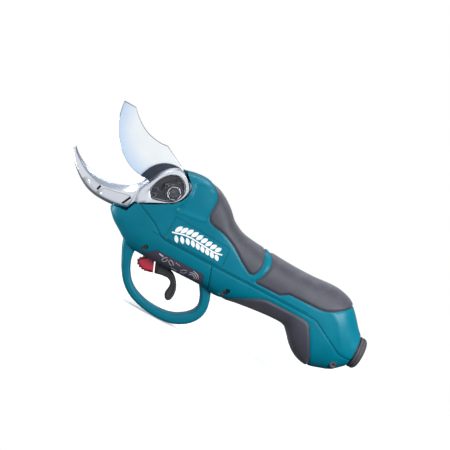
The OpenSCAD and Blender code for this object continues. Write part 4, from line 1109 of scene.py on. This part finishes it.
class PRUNER_OT_hook(bpy.types.Operator):
    """Build the hook with its ring, panels and groove, and the dark shroud behind the ring"""
    bl_idname = "pruner.hook"
    bl_label = "Hook and Shroud"

    def execute(self, context):
        hook = hook_shank()
        ring = ring_boss()
        long_panel = closed_spline([(-54.2, -24.6), (-44, -22.6), (-33.4, -20.3), (-32.2, -21.6),
                                    (-36, -28.3), (-37.6, -29), (-46, -30.1), (-54, -30), (-55.6, -27.6)],
                                   5)
        short_panel = closed_spline([(-70, -22.8), (-64.5, -23.2), (-59.6, -23.5), (-59, -25), (-60.4, -28.2),
                                     (-64, -28), (-68, -26)], 5)
        ends = [np.array([(-32.0, -20.4), (-30.6, -21.2), (-34.4, -28.9), (-36.0, -28.6)]),
                np.array([(-59.4, -23.8), (-57.8, -24.2), (-59.0, -28.4), (-60.6, -28.0)])]
        cuts = [tapered_cut(long_panel, HOOK_FACE, HOOK_FACE + 1.3, 0.45),
                tapered_cut(short_panel, HOOK_FACE, HOOK_FACE + 1.3, 0.45),
                tapered_cut(ends[0], HOOK_FACE, HOOK_FACE + 3.4, 0.1),
                tapered_cut(ends[1], HOOK_FACE, HOOK_FACE + 3.4, 0.1),
                prism("seam", [thick_line(np.array([(-28.4, -13), (-27.2, -15), (-23.3, -22.4)]), 0.8)],
                      RING_FACE - 1, HOOK_FACE + 1.2)]
        shroud_in = [(4, 12), (8, 2), (4, -6), (-10, -10), (-24, -0.6)]
        shroud_area = np.vstack([spline(SHROUD_OUT, 6), shroud_in])
        shroud_slot = prism("slot", [shroud_area], HOOK_BACK - 2, HOOK_BACK + 1)
        bore = rod("bore", SPINDLE_CLEARANCE, RING_FACE - 1, HOOK_BACK + 1)
        holes = [rod("hole", LOCK_SCREW_BORE, RING_FACE, 0, x, z, 20) for x, z in LOCK_SCREWS]
        carve(hook, ("UNION", ring), *[("DIFFERENCE", c) for c in (*cuts, shroud_slot, bore, *holes)])
        drop(ring, *cuts, shroud_slot, bore, *holes)
        finish_piece(hook, "hook", hook_metal(), "handle", "hook_steel", "hook_blade", angle=28)
        # A near-black painted shadow sheet at the bottom of the two deep end slots, where only shade falls
        pit_shadows = prism("pit_shadows", ends, HOOK_FACE + 2.2, HOOK_FACE + 3.45)
        finish_piece(pit_shadows, "hook_pits", shadow_gap(), "handle", "dark_steel")
        shroud = rounded_prism("shroud", shroud_area, HOOK_BACK - 2, HOOK_BACK, 0.55, 3)
        hole = rod("hole", SPINDLE_CLEARANCE, -20, 0)
        cut(shroud, hole)
        drop(hole)
        finish_piece(shroud, "shroud", blued_metal(), "handle", "dark_steel", "shroud_plate")
        return {"FINISHED"}


LOCK_SCREWS = [(-15.4, -4.2), (-15, -9.2)]
NUT_LOCK = (-8.6, 2.8)


class PRUNER_OT_pivot(bpy.types.Operator):
    """Build the lock plate, nut, washer and small screws in the ring's recess"""
    bl_idname = "pruner.pivot"
    bl_label = "Pivot Parts"

    def execute(self, context):
        plate = rounded_prism("plate", grown(by_angle(closed_spline(RING_RECESS, 8), 120), -0.75),
                              HOOK_FACE - 2, HOOK_FACE, 0.35, 2)
        arc = [(11.2 * math.cos(a), 11.2 * math.sin(a)) for a in np.radians(np.arange(104, 200, 6))]
        cutters = [rod("hole", SPINDLE_CLEARANCE, -30, 0),
                   prism("slot", [thick_line(np.array(arc), 2.4)], -30, HOOK_FACE - 0.4),
                   rod("eye", 0.9, -30, HOOK_FACE - 0.6, 0.6, 10.2, 20)]
        cutters += [rod("hole", LOCK_SCREW_BORE, -30, 0, x, z, 20) for x, z in (*LOCK_SCREWS, NUT_LOCK)]
        cut(plate, *cutters)
        drop(*cutters)
        raised = turned_y("raised", [(6.4, HOOK_FACE - 1.9), (8.2, HOOK_FACE - 1.9), (8.2, HOOK_FACE - 2.5),
                                     (7.8, HOOK_FACE - 2.8), (6.9, HOOK_FACE - 2.8), (6.4, HOOK_FACE - 2.4)])
        carve(raised, ("UNION", plate))
        drop(plate)
        finish_piece(raised, "lock_disc", dark_metal(), "handle", "dark_steel", "lock_plate")
        washer = turned_y("washer", [(3.1, -11.35), (6.0, -11.35), (6.0, -12.1), (5.7, -12.4), (3.1, -12.4)])
        finish_piece(washer, "nut_washer", bright_metal(), "blade", "dark_steel", "pivot_washer")
        nut = rounded_prism("nut", circle(5.8, 0, 0, 6, 0.3), -15.2, -12.45, 0.35, 3)
        dome = turned_y("dome", [(0.0, -14.3), (4.4, -14.3), (4.4, -15.7), (4.0, -16.1), (0.0, -16.35)])
        bite = turned_y("bite", [(5.15, -14.2), (7.0, -12.9), (7.0, -17), (4.6, -17), (4.6, -15.05)])
        carve(nut, ("DIFFERENCE", bite), ("UNION", dome))
        drop(dome)
        drop(bite)
        finish_piece(nut, "centre_nut", dark_metal(), "blade", "dark_steel", "pivot_nut")
        for name, spots, node in (("plate_screws", LOCK_SCREWS, "lock_plate_screws"),
                                  ("nut_screw", [NUT_LOCK], "nut_lock_screw")):
            screws = socket_screws(name, [(x, z, HOOK_FACE - 2, -1) for x, z in spots], 2.3, 1.9, 1.3, 5.6)
            finish_piece(screws, name, dark_metal(), "handle", "bright_steel", node)
        return {"FINISHED"}


def turned_y(name, profile, x=0.0, z=0.0, steps=64):
    """A solid turned round an axis along Y; the profile is (radius, y)."""
    bm = bmesh.new()
    verts = [bm.verts.new((x + r, y, z)) for r, y in profile]
    edges = [bm.edges.new(pair) for pair in zip(verts, verts[1:])]
    if profile[0][0] > 0:
        edges.append(bm.edges.new((verts[-1], verts[0])))
    bmesh.ops.spin(bm, geom=verts + edges, cent=(x, 0, z), axis=(0, 1, 0), angle=2 * math.pi, steps=steps,
                   use_merge=True, use_duplicate=False)
    bmesh.ops.remove_doubles(bm, verts=bm.verts, dist=1e-3)
    bmesh.ops.recalc_face_normals(bm, faces=bm.faces)
    return new_object(name, bm)


def socket_screws(name, places, head_r, head_t, shank_r, length):
    """Cap screws with a six-sided socket; each place is (x, z, seat y, side that the head faces)."""
    parts = []
    for x, z, seat, side in places:
        top = seat + side * head_t
        profile = [(0.0, top), (head_r - 0.45, top), (head_r, top - side * 0.45), (head_r, seat),
                   (shank_r, seat), (shank_r, seat - side * length), (0.0, seat - side * length)]
        part = turned_y("screw", profile, x, z, 32)
        key = prism("key", [circle(head_r * 0.52, x, z, 6)], *sorted((top + side, top - side * head_t * 0.6)))
        cut(part, key)
        drop(key)
        parts.append(part)
    joined = parts[0]
    for part in parts[1:]:
        carve(joined, ("UNION", part))
        drop(part)
    joined.name = name
    return joined


EDGE_LINE = [[(-14, -9), (-22, -5.2), (-25, -1.9)],
             [(-25, -1.9), (-32, -0.4), (-38, 0.4), (-46, 3.4), (-54, 8.8), (-61, 15.2), (-66.6, 22.4),
              (-70.6, 30.6), (-73, 39.4), (-74.4, 49.8)]]
SPINE_LINE = [[(0, 16), (-1.4, 20.9), (-23.6, 32.8)],
              [(-23.6, 32.8), (-30, 32.2), (-40, 33.7), (-49, 37.5), (-57, 43.3), (-63, 49.3)]]
BLADE_SECTION = [(0.0, -2.3, -2.05), (0.012, -2.62, -1.9), (0.07, -2.66, -1.3), (0.2, -2.56, -0.2),
                 (0.34, -2.46, 1.22), (0.5, -2.43, 1.3), (0.72, -2.52, 1.3), (0.9, -2.66, 1.3),
                 (0.975, -2.66, 1.3), (1.0, -2.35, 1.05)]


class PRUNER_OT_blade(bpy.types.Operator):
    """Build the cutting blade: hollow-ground face, bevelled back and round root"""
    bl_idname = "pruner.blade"
    bl_label = "Blade"

    def execute(self, context):
        edge = np.vstack([resample(EDGE_LINE[0], 9)[:-1], resample(spline(EDGE_LINE[1], 8), 60)])
        spine = np.vstack([resample(SPINE_LINE[0], 9)[:-1], resample(spline(SPINE_LINE[1], 8), 60)])
        rings = []
        for a, b in zip(edge, spine):
            face = [(a[0] + (b[0] - a[0]) * s, y, a[1] + (b[1] - a[1]) * s) for s, y, _ in BLADE_SECTION]
            back = [(a[0] + (b[0] - a[0]) * s, y, a[1] + (b[1] - a[1]) * s) for s, _, y in BLADE_SECTION]
            rings.append(face + back[::-1])
        blade = loft("blade", rings)
        root = rounded_prism("root", circle(16.2, 0, 0, 96), BLADE_FACE + 0.03, BLADE_BACK, 0.2, 2)
        bore = rod("bore", 5.03, -20, 20)
        carve(blade, ("UNION", root), ("DIFFERENCE", bore))
        drop(root)
        drop(bore)
        finish_piece(blade, "blade", blade_metal(), "blade", "blade_steel", "cutting_blade", angle=14)
        place = np.array([v.co for v in blade.data.vertices])
        local = (place - np.array(PIVOT)) / MM
        near = distance_to(np.vstack([EDGE_LINE[0], spline(EDGE_LINE[1], 4)]), local[:, 0], local[:, 2])
        around = distance_to(np.vstack([edge, spine[::-1], edge[:1]]), local[:, 0], local[:, 2])
        # 'across' drives the painted reflection tint from the cutting edge; 'rim' marks the outline for a
        # painted dark shade line
        for label, value in (("across", np.clip(near / 15, 0, 1)), ("rim", (around < 0.2).astype(float))):
            layer = blade.data.attributes.new(label, "FLOAT", "POINT")
            layer.data.foreach_set("value", value.astype(np.float32))
        return {"FINISHED"}


# ---------------------------------------------------------------- levers, socket, screws

TRIGGER = np.vstack([[(14.4, -61), (15.6, -53)],
                     spline([(17.4, -49.2), (21, -47.6), (24.6, -49.2), (26.4, -55)], 5),
                     spline([(28, -61.2), (33, -63.2), (37.6, -67.2), (40.6, -72), (41.9, -77), (41.8, -81.6),
                             (40.8, -84.6), (38.6, -85.9), (36.2, -85), (34.6, -82.2), (34.7, -78.6),
                             (35.2, -75), (34.4, -71.8), (32.4, -69.4), (29.4, -68.3)],
                            5),
                     [(24, -68.8), (18, -70.1)]])
LOCK = np.vstack([[(16.8, -70.2), (13.0, -61), (14.1, -53)],
                  spline([(13.4, -49.4), (10.5, -48), (7.6, -49.4), (6.6, -54)], 5),
                  spline([(6.2, -59.6), (3.2, -62.4), (0.8, -65.2), (0.4, -67.6), (2.2, -69.8), (5.6, -71.3),
                          (9.4, -71.9), (13, -71.4), (16.8, -70.2)],
                         6)])


def lever(name, outline, half_w, radius, pivot_joint):
    """A moulded lever with rounded edges, bored for its pin."""
    pin = (Vector(JOINTS[pivot_joint]["pos_m"]) - PIVOT) / MM
    part = pillow(name, outline, -half_w, half_w, radius)
    bore = rod("bore", 2.05, -20, 20, pin.x, pin.z)
    cut(part, bore)
    drop(bore)
    return part


class PRUNER_OT_levers(bpy.types.Operator):
    """Build the trigger and the ribbed lock-off lever"""
    bl_idname = "pruner.levers"
    bl_label = "Trigger and Lock-off"

    def execute(self, context):
        half_w = context.scene.pruner_sizes.lever_width / MM / 2
        trigger = lever("trigger_lever", TRIGGER, half_w, 1.9, "trigger_pull")
        web = thick_line(spline([(27, -65.6), (31.6, -66.2), (35.6, -69), (38, -73), (38.8, -77.4),
                                 (38.5, -81)],
                                6),
                         1.9)
        grooves = [prism("web", [web], -20, 0.9 - half_w), prism("web", [web], half_w - 0.9, 20)]
        cut(trigger, *grooves)
        drop(*grooves)
        finish_piece(trigger, "trigger_lever", black_plastic(), "trigger", "trigger_plastic", "trigger")
        lock = lever("lock_lever", LOCK, half_w, 2.0, "lock_off_press")
        front = resample(spline([(5.4, -60.6), (0.6, -65.6), (1.4, -69.2), (6, -71.6), (12.6, -71.6)], 6), 9)
        ribs = [rod("rib", 0.75, 1.9 - half_w, half_w - 1.9, x, z, 16) for x, z in front[1:-1]]
        sides = [prism("cheek", [leaf(3.4, -66.6, -12, 10.4, 3.4)], -half_w - 0.25, half_w + 0.25)]
        carve(lock, *[("UNION", r) for r in ribs + sides])
        drop(*ribs, *sides)
        finish_piece(lock, "lock_lever", red_plastic(), "lock_off", "red_plastic", "lock_off_lever")
        return {"FINISHED"}


class PRUNER_OT_socket(bpy.types.Operator):
    """Build the collar of the cable socket and the shell screws"""
    bl_idname = "pruner.socket"
    bl_label = "Socket and Screws"

    def execute(self, context):
        mouth = (Vector((0, 0, 0)) - PIVOT) / MM
        seat = mouth.x - 7.2
        profile = [(9.0, seat), (13.2, seat), (14.2, seat + 0.5), (14.2, seat + 1.7), (13.6, seat + 2.1),
                   (13.6, seat + 2.7), (14.2, seat + 3.1), (14.1, seat + 4.2), (13.4, seat + 5.6),
                   (12.2, seat + 6.7), (11.0, seat + 7.2), (9.6, seat + 7.2), (9.0, seat + 6.7)]
        collar = turned_y("collar", profile)
        turn = Matrix.Translation((0, 0, mouth.z)) @ ALONG_X
        collar.data.transform(turn)
        flutes = []
        for a in np.arange(24) * math.pi / 12:
            flute = prism("flute", [circle(0.5, 0, 0, 10)], seat + 3.6, seat + 9)
            place = Matrix.Translation((0, 0,
                                        mouth.z)) @ Matrix.Rotation(a, 4,
                                                                    "X") @ Matrix.Translation((0, 0, 14.25))
            flute.data.transform(place @ ALONG_X)
            flutes.append(flute)
        cut(collar, *flutes)
        drop(*flutes)
        finish_piece(collar, "coupling_collar", collar_plastic(), "handle", "collar_plastic", "socket_collar")
        screws = socket_screws("shell_screws",
                               [(x, z, SCREW_SEAT * side, side) for x, z, side in SCREW_SPOTS], 3.0, 2.3, 1.5,
                               22.5)
        finish_piece(screws, "shell_screws", dark_metal(), "handle", "bright_steel", "housing_screws")
        return {"FINISHED"}


# ---------------------------------------------------------------- finishes of the carried-over nodes

def node_finishes():
    """The finish of every frame node that stays as it is."""
    return {
        cast_metal: ("head_frame", "gear_case"),
        bronze_metal: ("spindle_bush", "screw_front_bush", "planet_gear_1", "planet_gear_2", "planet_gear_3",
                       "contact_sleeves"),
        bright_metal: ("screw_rear_bearing", "blade_spindle", "screw_nut", "drive_screw", "planet_carrier",
                       "planet_pins", "motor_rotor", "trigger_pin", "lock_off_pin", "trigger_spring",
                       "lock_off_spring"),
        dark_metal: ("ring_gear", "motor_can", "stator_core", "sector_gear", "drive_rack", "sun_gear",
                     "rotor_magnets"),
        copper_wire: ("stator_coils",),
        board_resin: ("control_board",),
        black_plastic: ("motor_end_cap", "trigger_switch", "board_capacitors", "cable_socket"),
        shadow_gap: ("socket_seal",),
    }


class PRUNER_OT_inner_finishes(bpy.types.Operator):
    """Give every carried-over frame node its procedural finish"""
    bl_idname = "pruner.inner_finishes"
    bl_label = "Inner Finishes"

    def execute(self, context):
        for maker, names in node_finishes().items():
            for name in names:
                set_finish(name, maker())
        set_finish("motor_leads", lead_cover((0.45, 0.02, 0.02)))
        set_finish("supply_leads", lead_cover((0.02, 0.02, 0.022)))
        return {"FINISHED"}


def set_finish(name, material):
    slots = frame["nodes"][name].data.materials
    slots.clear()
    slots.append(material)


# ---------------------------------------------------------------- stage

CAMERA_DISTANCE = 1.6
VIEW_WIDTH = 0.3897
VIEW_CENTRE = Vector((0.0525, 0.0, -0.0047))
CAMERA_AZIMUTH, CAMERA_HEIGHT, CAMERA_ROLL = math.radians(5.5), math.radians(5.5), math.radians(28.4)


def camera_axes():
    """The camera's right, up and forward directions: from the front left, a little above, and rolled."""
    a, e = CAMERA_AZIMUTH, CAMERA_HEIGHT
    forward = Vector((math.sin(a) * math.cos(e), math.cos(a) * math.cos(e), -math.sin(e)))
    level = forward.cross(Vector((0, 0, 1))).normalized()
    rise = level.cross(forward)
    right = math.cos(CAMERA_ROLL) * level + math.sin(CAMERA_ROLL) * rise
    up = -math.sin(CAMERA_ROLL) * level + math.cos(CAMERA_ROLL) * rise
    return right, up, forward


def add_camera(target):
    right, up, forward = camera_axes()
    data = bpy.data.cameras.new("camera")
    data.sensor_width = 36
    data.lens = data.sensor_width * CAMERA_DISTANCE / VIEW_WIDTH
    data.clip_end = 20
    camera = bpy.data.objects.new("camera", data)
    turn = Matrix((right, up, -forward)).transposed().to_4x4()
    camera.matrix_world = Matrix.Translation(target - forward * CAMERA_DISTANCE) @ turn
    bpy.context.scene.collection.objects.link(camera)
    bpy.context.scene.camera = camera


def add_softbox(name, target, side, rise, back, size, watts, colour=(1, 1, 1)):
    """An area light placed in the camera's own directions and aimed at the tool."""
    right, up, forward = camera_axes()
    data = bpy.data.lights.new(name, "AREA")
    data.shape = "RECTANGLE"
    data.size, data.size_y = size
    data.energy = watts
    data.color = colour
    lamp = bpy.data.objects.new(name, data)
    place = target + right * side + up * rise - forward * back
    lamp.matrix_world = Matrix.Translation(place) @ (place - target).to_track_quat("Z",
                                                                                   "Y").to_matrix().to_4x4()
    bpy.context.scene.collection.objects.link(lamp)


def studio_world():
    """White to the camera; to light and reflections, a bright field before the tool, a quiet one around."""
    world = bpy.data.worlds.new("studio")
    world.use_nodes = True
    tree = world.node_tree
    tree.nodes.clear()
    right, up, forward = camera_axes()
    direction = tree.nodes.new("ShaderNodeTexCoord").outputs["Generated"]

    def facing(axis):
        dot = tree.nodes.new("ShaderNodeVectorMath")
        dot.operation = "DOT_PRODUCT"
        dot.inputs[1].default_value = axis
        tree.links.new(direction, dot.inputs[0])
        return dot.outputs["Value"]
    field = ramp_node(tree, facing((-forward + 0.2 * up).normalized()), 0.64, 0.93)
    level = ramp_node(tree, facing((up * 0.9 - right * 0.3).normalized()), -1.0, 1.0)
    around = mix_colour(tree, level, (0.03, 0.035, 0.045), (0.5, 0.55, 0.62))
    rays = tree.nodes.new("ShaderNodeLightPath")
    gentle = math_node(tree, "MULTIPLY_ADD", rays.outputs["Is Diffuse Ray"], -0.62)
    gentle.node.inputs[2].default_value = 1.0
    light = mix_colour(tree, math_node(tree, "MULTIPLY", field, gentle), around, (1.0, 1.0, 1.0))
    soft = tree.nodes.new("ShaderNodeBackground")
    soft.inputs["Strength"].default_value = 0.92
    tree.links.new(light, soft.inputs["Color"])
    white = tree.nodes.new("ShaderNodeBackground")
    white.inputs["Color"].default_value = (1, 1, 1, 1)
    mix = tree.nodes.new("ShaderNodeMixShader")
    tree.links.new(rays.outputs["Is Camera Ray"], mix.inputs["Fac"])
    tree.links.new(soft.outputs["Background"], mix.inputs[1])
    tree.links.new(white.outputs["Background"], mix.inputs[2])
    tree.links.new(mix.outputs["Shader"], tree.nodes.new("ShaderNodeOutputWorld").inputs["Surface"])
    bpy.context.scene.world = world


def floor_material():
    """A white surface that runs out into the white background."""
    material = finish_material("pale_floor", (0.86, 0.86, 0.87), (0.9, 0.9, 0.9), 0.8, grain=300, bump=0.02,
                               scuffs=0.0, wear=0.0, dust=0.0, smudge=0.05, specular=0.1)
    tree = material.node_tree
    shader = tree.nodes["Principled BSDF"]
    shader.inputs["Emission Color"].default_value = (1, 1, 1, 1)
    shader.inputs["Emission Strength"].default_value = 0.42
    place = tree.nodes.new("ShaderNodeTexCoord").outputs["Object"]
    length = tree.nodes.new("ShaderNodeVectorMath")
    length.operation = "DISTANCE"
    length.inputs[1].default_value = (PIVOT.x + VIEW_CENTRE.x, 0, CAD_BOX[0][2])
    tree.links.new(place, length.inputs[0])
    fade = ramp_node(tree, length.outputs["Value"], 0.55, 0.16)
    tree.links.new(fade, shader.inputs["Alpha"])
    return material


class PRUNER_OT_stage(bpy.types.Operator):
    """Set up the camera, the pale floor and soft studio light"""
    bl_idname = "pruner.stage"
    bl_label = "Stage"

    def execute(self, context):
        target = PIVOT + VIEW_CENTRE
        add_camera(target)
        studio_world()
        add_softbox("key", target, -0.3, 1.1, 0.6, (0.5, 0.3), 4)
        add_softbox("handle_box", target, 0.36, -0.02, 0.36, (0.2, 0.16), 2.8, (0.95, 0.98, 1.0))
        add_softbox("nose_light", target, -0.7, 0.05, 0.0, (0.4, 0.4), 16)
        add_softbox("rim", target, 0.45, 1.0, -0.35, (0.8, 0.3), 5)
        bm = bmesh.new()
        bmesh.ops.create_circle(bm, cap_ends=True, radius=1.2, segments=96)
        floor = new_object("floor", bm)
        floor.data.transform(Matrix.Translation((target.x, 0, CAD_BOX[0][2] - 0.0005)))
        floor.data.materials.append(floor_material())
        floor.visible_diffuse = False
        floor.visible_glossy = False
        context.scene.view_settings.view_transform = "Standard"
        return {"FINISHED"}


class PRUNER_PT_panel(bpy.types.Panel):
    """Sizes, colours and build steps"""
    bl_label = "Vineyard Pruner"
    bl_idname = "PRUNER_PT_panel"
    bl_space_type = "VIEW_3D"
    bl_region_type = "UI"
    bl_category = "Pruner"

    def draw(self, context):
        for settings in (context.scene.pruner_sizes, context.scene.pruner_colours):
            for name in type(settings).__annotations__:
                self.layout.prop(settings, name)
        for operator in OPERATORS:
            self.layout.operator(operator.bl_idname)


OPERATORS = (PRUNER_OT_stage, PRUNER_OT_shells, PRUNER_OT_grips, PRUNER_OT_panels, PRUNER_OT_hook,
             PRUNER_OT_pivot, PRUNER_OT_blade, PRUNER_OT_levers, PRUNER_OT_socket, PRUNER_OT_inner_finishes)
CLASSES = (PrunerSizes, PrunerColours, *OPERATORS, PRUNER_PT_panel)


def register():
    for cls in CLASSES:
        bpy.utils.register_class(cls)
    bpy.types.Scene.pruner_sizes = bpy.props.PointerProperty(type=PrunerSizes)
    bpy.types.Scene.pruner_colours = bpy.props.PointerProperty(type=PrunerColours)


def unregister():
    del bpy.types.Scene.pruner_sizes
    del bpy.types.Scene.pruner_colours
    for cls in reversed(CLASSES):
        bpy.utils.unregister_class(cls)


def main():
    register()
    bpy.ops.pruner.stage()
    bpy.ops.pruner.shells()
    bpy.ops.pruner.grips()
    bpy.ops.pruner.panels()
    bpy.ops.pruner.hook()
    bpy.ops.pruner.pivot()
    bpy.ops.pruner.blade()
    bpy.ops.pruner.levers()
    bpy.ops.pruner.socket()
    bpy.ops.pruner.inner_finishes()


if __name__ == "__main__":
    main()
